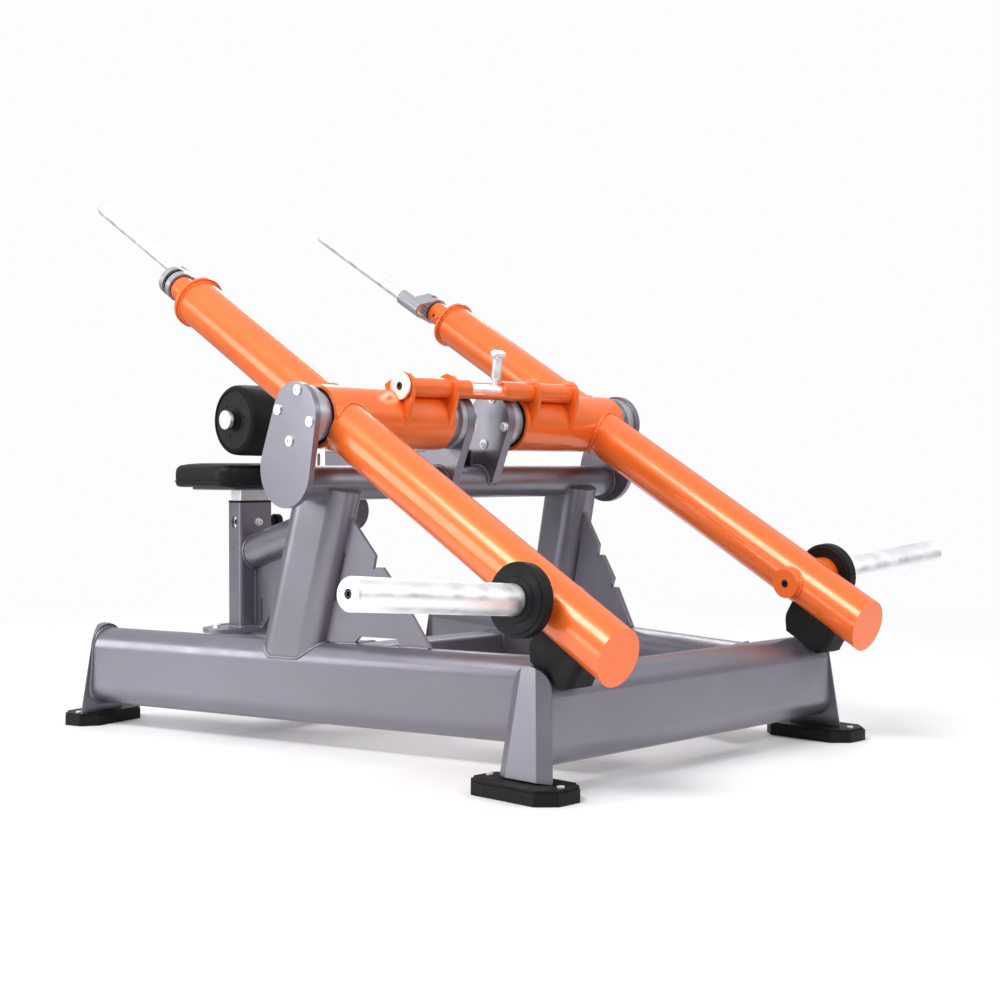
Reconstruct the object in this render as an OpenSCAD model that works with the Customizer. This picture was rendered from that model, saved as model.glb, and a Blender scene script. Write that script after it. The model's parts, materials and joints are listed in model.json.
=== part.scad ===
// Plate-loaded seated dip machine with two swinging arms, a thigh roller and a height-adjusted seat.
// Millimetres. +Z is up, +X is to the user's right hand as they face the weight horns,
// and -Y is the weight-horn end. The origin is on the floor, at the middle of the overall box.

/* [Base frame] */
// Height of the top of the base tubes
base_top = 193; // [170:1:230]
// Height of the oval base tube section
base_tube_h = 152; // [120:1:165]
// Width of the oval base tube section
base_tube_w = 80; // [60:1:100]
// Angle that each side rail opens out towards the rear
rail_splay = 14.2; // [0:0.1:18]
// Distance from the middle to a side rail, level with the pivot
rail_x = 319; // [290:1:340]
// Distance along a side rail from level with the pivot to its rear end
rail_rear = 586; // [520:1:640]
// Distance from the pivot forward to the middle of the front beam
beam_y = 523; // [480:1:560]
// Half the length of the front beam
beam_half = 410; // [390:1:430]

/* [Pivot] */
// Distance of the arm pivot from the middle of the machine, towards the weight horns
pivot_ahead = 78; // [60:1:90]
// Height of the arm pivot axis
pivot_z = 600; // [560:1:640]
// Outside diameter of the pivot tubes
pivot_tube_d = 115; // [100:1:120]
// Distance from the middle to the inner end of a pivot tube
pivot_tube_in = 97; // [92:1:105]
// Distance from the middle to the outer end of a pivot tube
pivot_tube_out = 388; // [384:1:394]
// Diameter of the fixed pivot shaft
shaft_d = 40; // [30:1:45]

/* [Arms] */
// Angle of the arms below level at rest, weight end down
arm_pitch = 29.5; // [25:0.5:32]
// Distance from the middle to an arm's axis
arm_x = 347; // [335:1:350]
// Outside diameter of an arm tube
arm_d = 92; // [80:1:95]
// Length of an arm from the pivot to its capped front end
arm_front = 768; // [740:1:790]
// Length of an arm from the pivot to its rear flange
arm_rear = 478; // [460:1:500]
// Angle between the cut at an arm's front end and a square cut, its lower edge forward
arm_cut = 14; // [0:1:20]
// Distance along the arm from the pivot to the weight horn
horn_t = 610; // [590:1:620]
// Diameter of a weight horn
horn_d = 50; // [48:0.5:50]
// Distance from the arm's axis to the tip of its weight horn
horn_tip = 434; // [380:1:460]
// Upward tilt of a weight horn
horn_tilt = 5.5; // [0:0.5:8]

/* [Handles] */
// Distance along the arm from the pivot to the tip of the handle
grip_tip = 960; // [900:1:1000]
// Diameter of the handle rod
grip_d = 26; // [22:1:30]
// Distance from the arm's axis to the handle's axis
grip_offset = 43; // [42:1:50]

/* [Seat and thigh rollers] */
// Distance from the pivot back to the middle of the seat post
seat_y = 714; // [690:1:730]
// Height of the top of the seat pad, at its lowest
seat_top = 523; // [500:1:540]
// Width of the seat pad
seat_w = 300; // [260:1:340]
// Length of the seat pad
seat_l = 214; // [200:1:240]
// Distance from the pivot back to the roller's slotted bar
bar_slide_y = 442; // [435:1:450]
// Distance from the pivot back to the roller axle
roller_y = 619; // [600:1:630]
// Height of the roller axle, at its lowest
roller_z = 612; // [608:1:625]
// Diameter of a foam roller
roller_d = 155; // [120:1:155]

/* [Hidden] */
$fn = 96;

wall = 4;                 // wall of the frame tubes
eps = 0.5;                // overlap that makes a cut run clean through
link_inset = 0.2;         // how far a link's straight sides lie inside the tangents
rail_inset = [2, 1];      // the side rails' section is this much smaller than the beam's, across and up
base_r = base_tube_w / 2;
base_bottom = base_top - base_tube_h;
rail_w = base_tube_w - 2 * rail_inset[0];
rail_h = base_tube_h - 2 * rail_inset[1];
lean = 14.3;              // lean of the uprights and bearing plates, top forward

// Crossbar: a round tube on the line of the lean below the pivot
bar_d = 63;
bar_z = 481.5;
bar_y = (pivot_z - bar_z) * tan(lean);
plate_t = 12;
plate_out = 437;          // outer face of the outer plates
bar_half = plate_out - plate_t;

// Uprights: oval tubes on the side rails
upright_l = 128;
upright_w = 74;

// Bearing plates
center_t = 19;
center_in = 45;           // inner face of the centre plates
center_hub_t = 13;
center_low_r = 38;
shaft_in = center_in + 9; // inner end of a stub shaft
shaft_out = plate_out - 5;
center_top_r = 56;        // clear of the lock barrels, which swing round it
plate_top_r = 60;
plate_low_r = 70;
plate_low_z = 507;
plate_low_y = 27;
bolt_pcd_r = 46;
bolt_head_d = 19;
bolt_head_h = 6;
bolt_d = 10;

// Hub flanges between the plates and the pivot tubes
hub_r = 55;
hub_t = 18.5;
hub_spigot_r = 46;
side_gap = 0.3;           // side clearance of a pivot tube between its hubs
bearing_clear = 0.05;     // running clearance on the shaft, radial
bearing_l = 26;
tube_wall = 6;

// Feet
foot_h = 24;
front_pad = [102, 188];
rear_pad = [92, 170];
pad_cut = 27;             // size of a pad's cut corners
pad_screw_in = 18;        // from a pad's end to its screw
rear_pad_s = 622;
rear_pad_in = 28;         // the rear pads sit inboard of their rails
foot_plate_t = 14;
foot_facet_top = 15;      // half width of the flat middle facet
foot_facet_low = 34;
foot_fold = 28;           // angle of the folded flanks
foot_lean = 6;            // outward lean of the foot plates
foot_plate_w = 112;
foot_plate_top_r = 42;
foot_plate_in = 4;        // depth of a foot plate inboard of its foot's mark
front_foot_x = 400;
rear_foot_s = 602;
spine_rear = 800;

// Rear frame under the seat
sub_top = 144;
sub_h = 100;
sub_w = 80;
sub_bottom = sub_top - sub_h;
cross_front_y = 250;
post_x = 88;
post_y = 49;
post_wall = 4.5;
post_top = 431;
slide_x = 78;
slide_y = 39;
bracket_w = 60;           // box bracket from the crossbar back to the roller's sleeve
bracket_low = 455;
bracket_top = 545;
sleeve_low = 352;         // roller sleeve: it stands through the strut
sleeve_top = 506;
sleeve_w = 60;
sleeve_l = 58;
slide_bar = 45;           // slotted bar that slides in the sleeve
slot_low = 361;
slot_top = 540;
guide_z = 470;
eye_t = 24;
base_plate_t = 10;
strut_d = 76;
strut_rise = 15.7;
strut_z = 323;            // height of the strut's axis at the seat post's front face
strut_front = 350;        // the strut runs under the bracket to here, and is closed
trim_h = 5;
pin_z = 388;              // height of the seat's pull pin
pin_hole_d = 12;
pin_step = 25;
pin_clear = 0.3;          // the pin is stored pulled clear of the seat's tube
knob_d = 32;
pin_collar = 14;          // from the pin's nose to its collar: clear of the post when pushed in

// Rollers
roller_in = 14;
roller_out = 116;
axle_d = 24;
core_r = 30;
disc_r = 64;              // end disc of a roller core
disc_sink = 2;            // its depth below the foam's end

// Weight horns
horn_under_d = 46;        // a horn's diameter under its collar
horn_boss_d = 70;         // boss on the arm that carries the horn
horn_bare = 30;           // length of that thinner part

// Handles
neck_d = 50;              // reduced tube between the arm's flange and the handle's collar
neck_end = 540;
bush_end = 584;
collar_start = 543;
collar_end = 579;
sleeve_start = 543;
sleeve_end = 616;
sleeve_r = 18;
collar_r = 30;
bush_r = 25;
grip_tail = 552;
slot_w = 11;
stop_pin_d = 8;

// Lock between the two arms
lock_y = -50;
lock_z = pivot_z + 57.5;
lock_r = 18.5;
lock_bore = 11;
lock_out = 229;
lock_gap = 0.6;
lock_split = 35;          // where the left and right barrels meet
lock_pin_half = 72;
knob_x = 12;
knob_slot = [-64, 24];
slot_face = 42;           // the opening faces this far forward of straight up
rib_x = [112, 222];
rib_t = 8;
rib_ring_r = lock_r + 8;
knob_neck_d = 10;
knob_lean = 8;            // lean of the knob towards the weight horns

// ---------------------------------------------------------------- shapes

// An oval (stadium) outline, w across X and h across Y
module oval(w, h) {
    r = min(w, h) / 2;
    square([w - (w > h ? 2 * r : 0), h - (w > h ? 0 : 2 * r)], center = true);
    for (s = [-1, 1]) translate([w > h ? s * (w / 2 - r) : 0, w > h ? 0 : s * (h / 2 - r)]) circle(r);
}

// An oval tube along +Z, open at both ends
module oval_tube(w, h, t, l) {
    linear_extrude(l) difference() {
        oval(w, h);
        oval(w - 2 * t, h - 2 * t);
    }
}

// A rectangle with round corners
module round_rect(w, h, r) {
    square([w - 2 * r, h], center = true);
    square([w, h - 2 * r], center = true);
    for (x = [-1, 1], y = [-1, 1]) translate([x * (w / 2 - r), y * (h / 2 - r)]) circle(r);
}

// A rectangular tube with round corners along +Z
module box_tube(w, h, t, l, r = 6) {
    linear_extrude(l) difference() {
        round_rect(w, h, r);
        round_rect(w - 2 * t, h - 2 * t, max(r - t, 1));
    }
}

// Outline around two circles: r1 at p1, r2 at p2. Its straight sides lie just inside the tangents,
// so that each one crosses both circles cleanly.
module link(p1, r1, p2, r2) {
    d = norm(p2 - p1);
    a = atan2(p2[1] - p1[1], p2[0] - p1[0]);
    b = acos((r1 - r2) / d);
    k1 = r1 - link_inset;
    k2 = r2 - link_inset;
    translate(p1) circle(r1);
    translate(p2) circle(r2);
    polygon([p1 + k1 * [cos(a + b), sin(a + b)], p2 + k2 * [cos(a + b), sin(a + b)],
        p2 + k2 * [cos(a - b), sin(a - b)], p1 + k1 * [cos(a - b), sin(a - b)]]);
}

// Parts are drawn with the arm pivot at Y = 0 and moved into place here
module placed() {
    translate([0, -pivot_ahead, 0]) children();
}

// The side given by side: 1 is the right, -1 the left
module on_side(side) {
    if (side > 0) children();
    else mirror([1, 0, 0]) children();
}

// Local +X runs rearwards along the right side rail, local +Y points inwards, +Z up
module on_rail() {
    translate([rail_x, 0, 0]) rotate([0, 0, 90 - rail_splay]) children();
}

// A drawing in the Y-Z plane becomes a plate of thickness t, growing towards +X from x
module side_plate(x, t) {
    translate([x, 0, 0]) rotate([90, 0, 90]) linear_extrude(t) children();
}

// Local +Z runs along the right arm towards its front end, local +X is outboard,
// and local +Y is square to both, on the arm's upper side
module on_arm() {
    translate([arm_x, 0, pivot_z]) rotate([90 + arm_pitch, 0, 0]) children();
}

// ---------------------------------------------------------------- base frame

module beam_solid() {
    translate([-beam_half, -beam_y, (base_top + base_bottom) / 2]) rotate([90, 0, 90])
        linear_extrude(2 * beam_half) oval(base_tube_w, base_tube_h);
}

module rail_solid() {
    on_rail() translate([-600, 0, (base_top + base_bottom) / 2]) rotate([90, 0, 90])
        linear_extrude(600 + rail_rear) oval(rail_w, rail_h);
}

// Everything outboard of a foot plate's inner face
module beyond_plate() {
    translate([-foot_plate_in, 0, 0]) rotate([0, -foot_lean, 0]) translate([0, -200, -200]) cube([200, 400, 500]);
}

module rail(side) {
    color("#8d8b98") placed() on_side(side) difference() {
        on_rail() translate([-560, 0, (base_top + base_bottom) / 2]) rotate([90, 0, 90])
            oval_tube(rail_w, rail_h, wall, 560 + rail_rear + 60);
        beam_solid();
        translate([-500, -beam_y - 300, -eps]) cube([1500, 300, 400]);
        at_rear_foot() beyond_plate();
    }
}

module left_rail() { rail(-1); }

module right_rail() { rail(1); }

module front_beam() {
    color("#8d8b98") placed() difference() {
        translate([-beam_half, -beam_y, (base_top + base_bottom) / 2]) rotate([90, 0, 90])
            oval_tube(base_tube_w, base_tube_h, wall, 2 * beam_half);
        for (s = [-1, 1]) on_side(s) at_front_foot() beyond_plate();
    }
}

// A foot plate: it tapers to a round top, its flanks are folded back and it leans outwards
module foot_plate() {
    top = base_top + 8 - foot_h;
    flank = atan((foot_facet_low - foot_facet_top) / top);
    difference() {
        rotate([90, 0, 90]) linear_extrude(foot_plate_t) difference() {
            link([0, top - foot_plate_top_r], foot_plate_top_r, [0, 4], foot_plate_w / 2);
            translate([-foot_plate_w, -foot_plate_w]) square([2 * foot_plate_w, foot_plate_w]);
        }
        for (s = [0, 1]) mirror([0, s, 0]) translate([foot_plate_t, foot_facet_low, 0])
            rotate([flank, 0, 0]) rotate([0, 0, foot_fold]) translate([0, 0, -50]) cube([60, 80, top + 150]);
    }
}

module at_front_foot() {
    translate([front_foot_x, -beam_y, foot_h]) children();
}

module at_rear_foot() {
    on_rail() translate([rear_foot_s, 0, foot_h]) children();
}

module at_spine_foot() {
    translate([0, spine_rear, foot_h]) rotate([0, 0, 90]) children();
}

module foot_plates() {
    color("#8d8b98") placed() {
        for (s = [-1, 1]) on_side(s) {
            at_front_foot() translate([-foot_plate_in, 0, 0]) rotate([0, -foot_lean, 0]) foot_plate();
            at_rear_foot() translate([-foot_plate_in, 0, 0]) rotate([0, -foot_lean, 0]) foot_plate();
        }
        difference() {
            at_spine_foot() foot_plate();
            translate([-200, 0, sub_top + 8]) cube([400, 2000, 400]);
        }
    }
}

// A rectangle with cut corners
module cut_rect(w, h, c) {
    polygon([[-w / 2, c - h / 2], [c - w / 2, -h / 2], [w / 2 - c, -h / 2], [w / 2, c - h / 2],
        [w / 2, h / 2 - c], [w / 2 - c, h / 2], [c - w / 2, h / 2], [-w / 2, h / 2 - c]]);
}

// A rubber foot with cut corners and a stepped top edge, pad = [width, length]
module foot_pad(pad) {
    screw_y = pad[1] / 2 - pad_screw_in;
    difference() {
        union() {
            linear_extrude(foot_h - 4) cut_rect(pad[0], pad[1], pad_cut);
            linear_extrude(foot_h - eps / 2) cut_rect(pad[0] - 8, pad[1] - 8, pad_cut - 2);
        }
        for (s = [-1, 1]) translate([0, s * screw_y, -eps]) cylinder(d = 8, h = foot_h + 2 * eps);
        for (s = [-1, 1]) translate([0, s * screw_y, -eps]) cylinder(d = 16, h = 8);
    }
}

module foot_screw_pair(pad) {
    for (s = [-1, 1]) translate([0, s * (pad[1] / 2 - pad_screw_in), 0]) difference() {
        union() {
            translate([0, 0, 8]) cylinder(d = 7.8, h = foot_h - 8);
            translate([0, 0, foot_h]) cylinder(d = 12, h = 2.5);
        }
        translate([0, 0, foot_h + 1]) cylinder(d = 6, h = 3, $fn = 6);
    }
}

module at_rear_pad() {
    on_rail() translate([rear_pad_s, rear_pad_in, 0]) children();
}

module at_spine_pad() {
    translate([0, spine_rear + foot_plate_t - rear_pad[0] / 2 + 12, 0]) rotate([0, 0, 90]) children();
}

module rubber_feet() {
    color("#17171a") placed() {
        for (s = [-1, 1]) on_side(s) {
            at_front_foot() translate([0, 0, -foot_h]) foot_pad(front_pad);
            at_rear_pad() foot_pad(rear_pad);
        }
        at_spine_pad() foot_pad(rear_pad);
    }
}

module foot_screws() {
    color("#c9ccd2") placed() {
        for (s = [-1, 1]) on_side(s) {
            at_front_foot() translate([0, 0, -foot_h]) foot_screw_pair(front_pad);
            at_rear_pad() foot_screw_pair(rear_pad);
        }
        at_spine_pad() foot_screw_pair(rear_pad);
    }
}

module crossmember() {
    mid_y = cross_front_y + sub_w / 2;
    color("#8d8b98") placed() difference() {
        translate([-450, mid_y, sub_top - sub_h / 2]) rotate([90, 0, 90]) box_tube(sub_w, sub_h, wall, 900, 8);
        for (s = [-1, 1]) on_side(s) {
            rail_solid();
            on_rail() translate([-600, -400, 0]) cube([1200, 400, 400]);
        }
    }
}

module spine_beam() {
    color("#8d8b98") placed() difference() {
        translate([0, spine_rear, sub_top - sub_h / 2]) rotate([90, 0, 0])
            box_tube(sub_w, sub_h, wall, spine_rear - cross_front_y - sub_w, 8);
        translate([0, seat_y, 0]) for (s = [-1, 1]) translate([s * 20, 0, sub_bottom - 10]) cylinder(d = 9, h = 20);
    }
}

// Local +Z runs up the right upright's leaning axis, from the floor
module upright_line() {
    on_rail() translate([pivot_z * tan(lean) / cos(rail_splay), 0, 0]) rotate([0, -lean, 0]) children();
}

module bar_solid() {
    translate([-bar_half, bar_y, bar_z]) rotate([0, 90, 0]) cylinder(d = bar_d, h = 2 * bar_half);
}

module upright(side) {
    top = bar_z / cos(lean) - 4;
    color("#9896a3") placed() on_side(side) difference() {
        upright_line() {
            translate([0, 0, 100]) oval_tube(upright_l, upright_w, wall, top - 100);
            translate([0, 0, top - wall]) linear_extrude(wall) oval(upright_l, upright_w);
        }
        rail_solid();
        bar_solid();
        translate([0, -300, -100]) cube([800, 800, base_top - base_r + 100]);
    }
}

module left_upright() { upright(-1); }

module right_upright() { upright(1); }

// Gusset in front of an upright, standing on the rail, with a stepped front edge,
// a slot beside the upright and a cut-out over the rail. Local X runs rearwards along the rail.
gusset_t = 8;
module gusset_outline() {
    foot_s = 170;
    difference() {
        polygon([[-15, 417], [-67, 352], [-62, 327], [-70, 331], [-83, 331], [-120, 286], [-111, 265],
            [-119, 268], [-132, 268], [-183, base_top], [foot_s - 20, base_top], [60, 417]]);
        polygon([[-20, base_top - eps], [-33, 205.5], [-113, 205.5], [-119, base_top - eps]]);
        translate([-3, 357]) rotate(14.3) translate([0, -93]) square([5, 90]);
    }
}

module gusset_plates() {
    color("#9896a3") placed() for (s = [-1, 1]) on_side(s) difference() {
        on_rail() translate([0, gusset_t / 2, 0]) rotate([90, 0, 0]) linear_extrude(gusset_t) gusset_outline();
        upright_line() linear_extrude(700) oval(upright_l, upright_w);
        upright_line() translate([0, -100, 0]) cube([200, 200, 700]);
        rail_solid();
    }
}

module crossbar() {
    color("#8d8b98") placed() translate([-bar_half, bar_y, bar_z]) rotate([0, 90, 0]) difference() {
        cylinder(d = bar_d, h = 2 * bar_half);
        translate([0, 0, -eps]) cylinder(d = bar_d - 2 * wall, h = 2 * bar_half + 2 * eps);
    }
}

// ---------------------------------------------------------------- pivot

module plate_outline() {
    link([0, pivot_z], plate_top_r, [plate_low_y, plate_low_z], plate_low_r);
}

module plate_holes(x, t) {
    for (k = [0:3]) translate([x - eps, 0, pivot_z]) rotate([lean + 90 * k, 0, 0]) translate([0, bolt_pcd_r, 0])
        rotate([0, 90, 0]) cylinder(d = bolt_d, h = t + 2 * eps);
}

module outer_bearing_plates() {
    color("#9896a3") placed() for (s = [-1, 1]) on_side(s) difference() {
        side_plate(plate_out - plate_t, plate_t) plate_outline();
        plate_holes(plate_out - plate_t, plate_t);
        pivot_bore(plate_out - plate_t - eps, shaft_out, shaft_d / 2);
    }
}

module center_bearing_plates() {
    color("#8d8b98") placed() for (s = [-1, 1]) on_side(s) difference() {
        side_plate(center_in, center_t) link([0, pivot_z], center_top_r, [bar_y, bar_z], center_low_r);
        plate_holes(center_in, center_t);
        pivot_bore(shaft_in, center_in + center_t + eps, shaft_d / 2);
        bar_solid();
        translate([0, -300, 0]) cube([100, 800, bar_z - 3]);
    }
}

// A stepped ring between a plate and a pivot tube: the disc is against the plate
module hub(x, dir, t, reach) {
    translate([x, 0, pivot_z]) rotate([0, dir * 90, 0]) difference() {
        union() {
            cylinder(r = hub_r, h = t);
            cylinder(r = hub_spigot_r, h = reach);
        }
        translate([0, 0, -eps]) cylinder(d = shaft_d, h = reach + 2 * eps);
        for (k = [0:3]) rotate([0, 0, 90 * k + dir * lean + 90]) translate([bolt_pcd_r, 0, -eps])
            cylinder(d = bolt_d, h = 10 + eps);
    }
}

module hub_flanges() {
    color("#b4b5bf") placed() for (s = [-1, 1]) on_side(s) {
        hub(plate_out - plate_t, -1, hub_t, plate_out - plate_t - pivot_tube_out - side_gap);
        hub(center_in + center_t, 1, center_hub_t, pivot_tube_in - center_in - center_t - side_gap);
    }
}

module bolt(x, dir, grip) {
    translate([x, 0, pivot_z]) for (k = [0:3]) rotate([lean + 90 * k, 0, 0]) translate([0, bolt_pcd_r, 0])
        rotate([0, dir * 90, 0]) difference() {
            union() {
                cylinder(d = bolt_head_d, h = bolt_head_h - 3);
                cylinder(d1 = bolt_head_d, d2 = bolt_head_d - 8, h = bolt_head_h);
                translate([0, 0, -grip]) cylinder(d = bolt_d - 0.02, h = grip + 1);
            }
            translate([0, 0, bolt_head_h - 3]) cylinder(d = 6, h = 4, $fn = 6);
        }
}

module plate_bolts() {
    color("#dcdfe4") placed() for (s = [-1, 1]) on_side(s) {
        bolt(plate_out, 1, plate_t + 8);
        bolt(center_in, -1, center_t + 8);
    }
}

// One stub shaft on each side, its ends sunk in blind holes in the plates
module pivot_shaft() {
    color("#b9bcc4") placed() for (s = [-1, 1]) on_side(s) pivot_bore(shaft_in, shaft_out, shaft_d / 2);
}

// ---------------------------------------------------------------- seat and roller frame

post_front = seat_y - post_y / 2;

module seat_base_plate() {
    color("#9896a3") placed() translate([0, seat_y, sub_top]) difference() {
        linear_extrude(base_plate_t) oval(236, 104);
        for (s = [-1, 1]) translate([s * 92, 0, -eps]) cylinder(d = 11, h = base_plate_t + 2 * eps);
    }
}

module seat_post() {
    color("#8d8b98") placed() translate([0, seat_y, sub_top + base_plate_t]) difference() {
        box_tube(post_x, post_y, post_wall, post_top - sub_top - base_plate_t, 7);
        // window in the left face for the pull pin's nose, and the pin's hole in the right face
        translate([-post_x / 2 - eps, 0, pin_z - sub_top - base_plate_t]) rotate([0, 90, 0])
            linear_extrude(post_wall + 2 * eps) oval(28, 18);
        translate([0, 0, pin_z - sub_top - base_plate_t]) rotate([0, 90, 0]) cylinder(d = pin_hole_d + 0.1, h = post_x);
        translate([0, -post_y, pin_z - sub_top - base_plate_t]) rotate([-90, 0, 0]) cylinder(d = 9, h = post_y);
    }
}

module strut_line() {
    translate([0, post_front, strut_z]) rotate([90 - strut_rise, 0, 0]) children();
}

module strut_solid() {
    strut_line() translate([0, 0, -60]) cylinder(d = strut_d, h = 400);
}

// The plate that closes the strut's front end, drawn in the strut's own line
module strut_end_plate() {
    translate([0, 0, 60]) rotate([strut_rise - 90, 0, 0]) translate([-100, strut_front - post_front, -200])
        cube([200, wall, 400]);
}

// The strut is cut to fit under the bracket and round the sleeve that stands through it
module seat_strut() {
    color("#8d8b98") placed() difference() {
        strut_line() translate([0, 0, -60]) difference() {
            cylinder(d = strut_d, h = 460);
            difference() {
                translate([0, 0, -eps]) cylinder(d = strut_d - 2 * wall, h = 460 + 2 * eps);
                strut_end_plate();
            }
        }
        translate([-100, post_front, 0]) cube([200, 300, 600]);
        translate([-100, 0, 0]) cube([200, strut_front, 700]);
        translate([-bracket_w / 2, 0, bracket_low]) cube([bracket_w, bar_slide_y, 100]);
        translate([-sleeve_w / 2, bar_slide_y - sleeve_l / 2, 200]) cube([sleeve_w, sleeve_l, 400]);
    }
}

module strut_gusset() {
    color("#9896a3") placed() difference() {
        side_plate(-4, 8) polygon([[post_front, sub_top + base_plate_t], [post_front - 28, sub_top + base_plate_t],
            [500, 342], [post_front, 300]]);
        strut_solid();
        translate([-20, post_front - 22, 190]) rotate([90, 0, 90]) linear_extrude(40) oval(7, 56);
    }
}

// Box bracket from the crossbar back to the sleeve
module roller_bracket() {
    rear = bar_slide_y - sleeve_l / 2;
    color("#8d8b98") placed() difference() {
        translate([0, rear, (bracket_low + bracket_top) / 2]) rotate([90, 0, 0])
            box_tube(bracket_w, bracket_top - bracket_low, wall, rear - bar_y, 7);
        bar_solid();
        translate([-100, 0, bar_z - 100]) cube([200, bar_y, 200]);
    }
}

// Sleeve for the roller's slotted bar
module roller_sleeve() {
    color("#8d8b98") placed() translate([0, bar_slide_y, sleeve_low]) difference() {
        box_tube(sleeve_w, sleeve_l, (sleeve_l - slide_bar) / 2 - 0.3, sleeve_top - sleeve_low, 7);
        translate([-sleeve_w / 2 - eps, 0, guide_z - sleeve_low]) rotate([0, 90, 0])
            cylinder(d = 9.4, h = sleeve_w + 2 * eps);
    }
}

module post_trims() {
    color("#141416") placed() translate([0, seat_y, post_top]) linear_extrude(trim_h) difference() {
        round_rect(post_x + 1, post_y + 1, 7.5);
        round_rect(slide_x + 0.6, slide_y + 0.6, 3.3);
    }
}

// A socket screw in a round boss, through the front face of a post
module post_screw() {
    rotate([90, 0, 0]) difference() {
        union() {
            cylinder(d = 18, h = 7);
            translate([0, 0, 7]) cylinder(d = 13, h = 7);
            translate([0, 0, -post_wall]) cylinder(d = 8.6, h = post_wall + 1);
        }
        translate([0, 0, 9]) cylinder(d = 6, h = 6, $fn = 6);
    }
}

module post_screws() {
    color("#c9ccd2") placed() {
        translate([0, post_front, pin_z]) post_screw();
        translate([-sleeve_w / 2, bar_slide_y, guide_z]) rotate([0, 90, 0]) {
            cylinder(d = 9.3, h = sleeve_w);
            translate([0, 0, -7]) cylinder(d = 18, h = 7, $fn = 6);
            translate([0, 0, sleeve_w]) cylinder(d = 18, h = 7, $fn = 6);
        }
        translate([0, seat_y, sub_top + base_plate_t]) for (s = [-1, 1]) translate([s * 92, 0, 0]) {
            cylinder(d = 20, h = 8, $fn = 6);
            translate([0, 0, -base_plate_t]) cylinder(d = 10.6, h = base_plate_t);
        }
    }
}

// The seat's own tube: it slides up in the seat post and has a row of pin holes through it
module seat_tube() {
    low = 210;
    color("#dfe2e8") placed() translate([0, seat_y, low]) difference() {
        box_tube(slide_x, slide_y, 3.5, seat_top - 57 - 6 - low, 3);
        for (k = [0:2]) translate([-slide_x, 0, pin_z - low - pin_step * k]) rotate([0, 90, 0])
            cylinder(d = pin_hole_d + 0.6, h = 2 * slide_x);
    }
}

module seat_plate() {
    color("#a3a2ad") placed() translate([0, seat_y, seat_top - 57 - 6]) linear_extrude(5.7) round_rect(210, 160, 12);
}

module seat_cushion() {
    color("#141416") placed() translate([0, seat_y, seat_top - 57]) {
        linear_extrude(50) round_rect(seat_w, seat_l, 38);
        linear_extrude(57) round_rect(seat_w - 14, seat_l - 14, 32);
    }
}

// Pull pin: a nose through the post's wall, facing the seat tube's hole, and a knob outside the post
module seat_pin() {
    color("#141416") placed() translate([slide_x / 2 + pin_clear, seat_y, pin_z]) rotate([0, 90, 0]) {
        cylinder(d = pin_hole_d, h = 28);
        translate([0, 0, pin_collar]) cylinder(d = 22, h = 14);
        translate([0, 0, pin_collar + 13]) cylinder(d = knob_d, h = 15);
    }
}

// Slotted bar with the arm and eye that carry the roller axle
module roller_slide() {
    low = sleeve_low + 4;
    top = roller_z + 24;
    color("#dfe2e8") placed() difference() {
        union() {
            translate([0, bar_slide_y, low]) box_tube(slide_bar, slide_bar, 4, top - low, 4);
            translate([0, bar_slide_y, top - 4]) linear_extrude(4) round_rect(slide_bar, slide_bar, 4);
            side_plate(-eye_t / 2, eye_t) difference() {
                link([roller_y, roller_z], 27, [bar_slide_y, roller_z - 6], 30);
                translate([bar_slide_y - 100, roller_z - 100]) square([100 + slide_bar / 2 - 2, 200]);
            }
        }
        translate([-eye_t, roller_y, roller_z]) rotate([0, 90, 0]) cylinder(d = axle_d, h = 2 * eye_t);
        translate([-slide_bar, bar_slide_y, (slot_low + slot_top) / 2]) rotate([90, 0, 90])
            linear_extrude(2 * slide_bar) oval(11, slot_top - slot_low);
    }
}

// Axle through the eye, with a collar that keeps each roller on it
module roller_axle() {
    color("#b9bcc4") placed() translate([0, roller_y, roller_z]) {
        translate([-roller_out - 24, 0, 0]) rotate([0, 90, 0]) cylinder(d = axle_d, h = 2 * (roller_out + 24));
        for (s = [-1, 1]) on_side(s) translate([roller_out + 12.6, 0, 0]) rotate([0, 90, 0]) cylinder(d = 40, h = 9);
    }
}

module roller_core(side) {
    l = roller_out - roller_in;
    color("#3a3b42") placed() on_side(side) translate([roller_in, roller_y, roller_z]) rotate([0, 90, 0]) difference() {
        union() {
            translate([0, 0, disc_sink]) cylinder(r = core_r, h = l - 2 * disc_sink);
            translate([0, 0, disc_sink]) cylinder(r = disc_r, h = 4);
            translate([0, 0, l - disc_sink - 4]) cylinder(r = disc_r, h = 4);
            cylinder(d = 50, h = l + 2);
            cylinder(d = 40, h = l + 12);
        }
        translate([0, 0, -eps]) cylinder(d = axle_d + 0.1, h = 300);
        for (k = [0:2]) rotate([0, 0, 120 * k + 20]) translate([38, 0, l - disc_sink - 3]) cylinder(d = 5, h = 8);
    }
}

module left_roller_core() { roller_core(-1); }

module right_roller_core() { roller_core(1); }

module roller_foam(side) {
    l = roller_out - roller_in;
    r = roller_d / 2;
    round_r = 11;
    color("#17171a") placed() on_side(side) translate([roller_in, roller_y, roller_z]) rotate([0, 90, 0])
        rotate_extrude() difference() {
            union() {
                translate([core_r, disc_sink + 4]) square([r - core_r - round_r, l - 2 * disc_sink - 8]);
                translate([disc_r, 0]) square([r - disc_r - round_r, l]);
                translate([r - round_r, round_r]) square([round_r, l - 2 * round_r]);
                for (y = [round_r, l - round_r]) translate([r - round_r, y]) circle(round_r);
            }
            translate([0, -eps]) square([disc_r, disc_sink + 4 + eps]);
            translate([0, l - disc_sink - 4]) square([disc_r, disc_sink + 4 + eps]);
        }
}

module left_roller_foam() { roller_foam(-1); }

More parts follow.
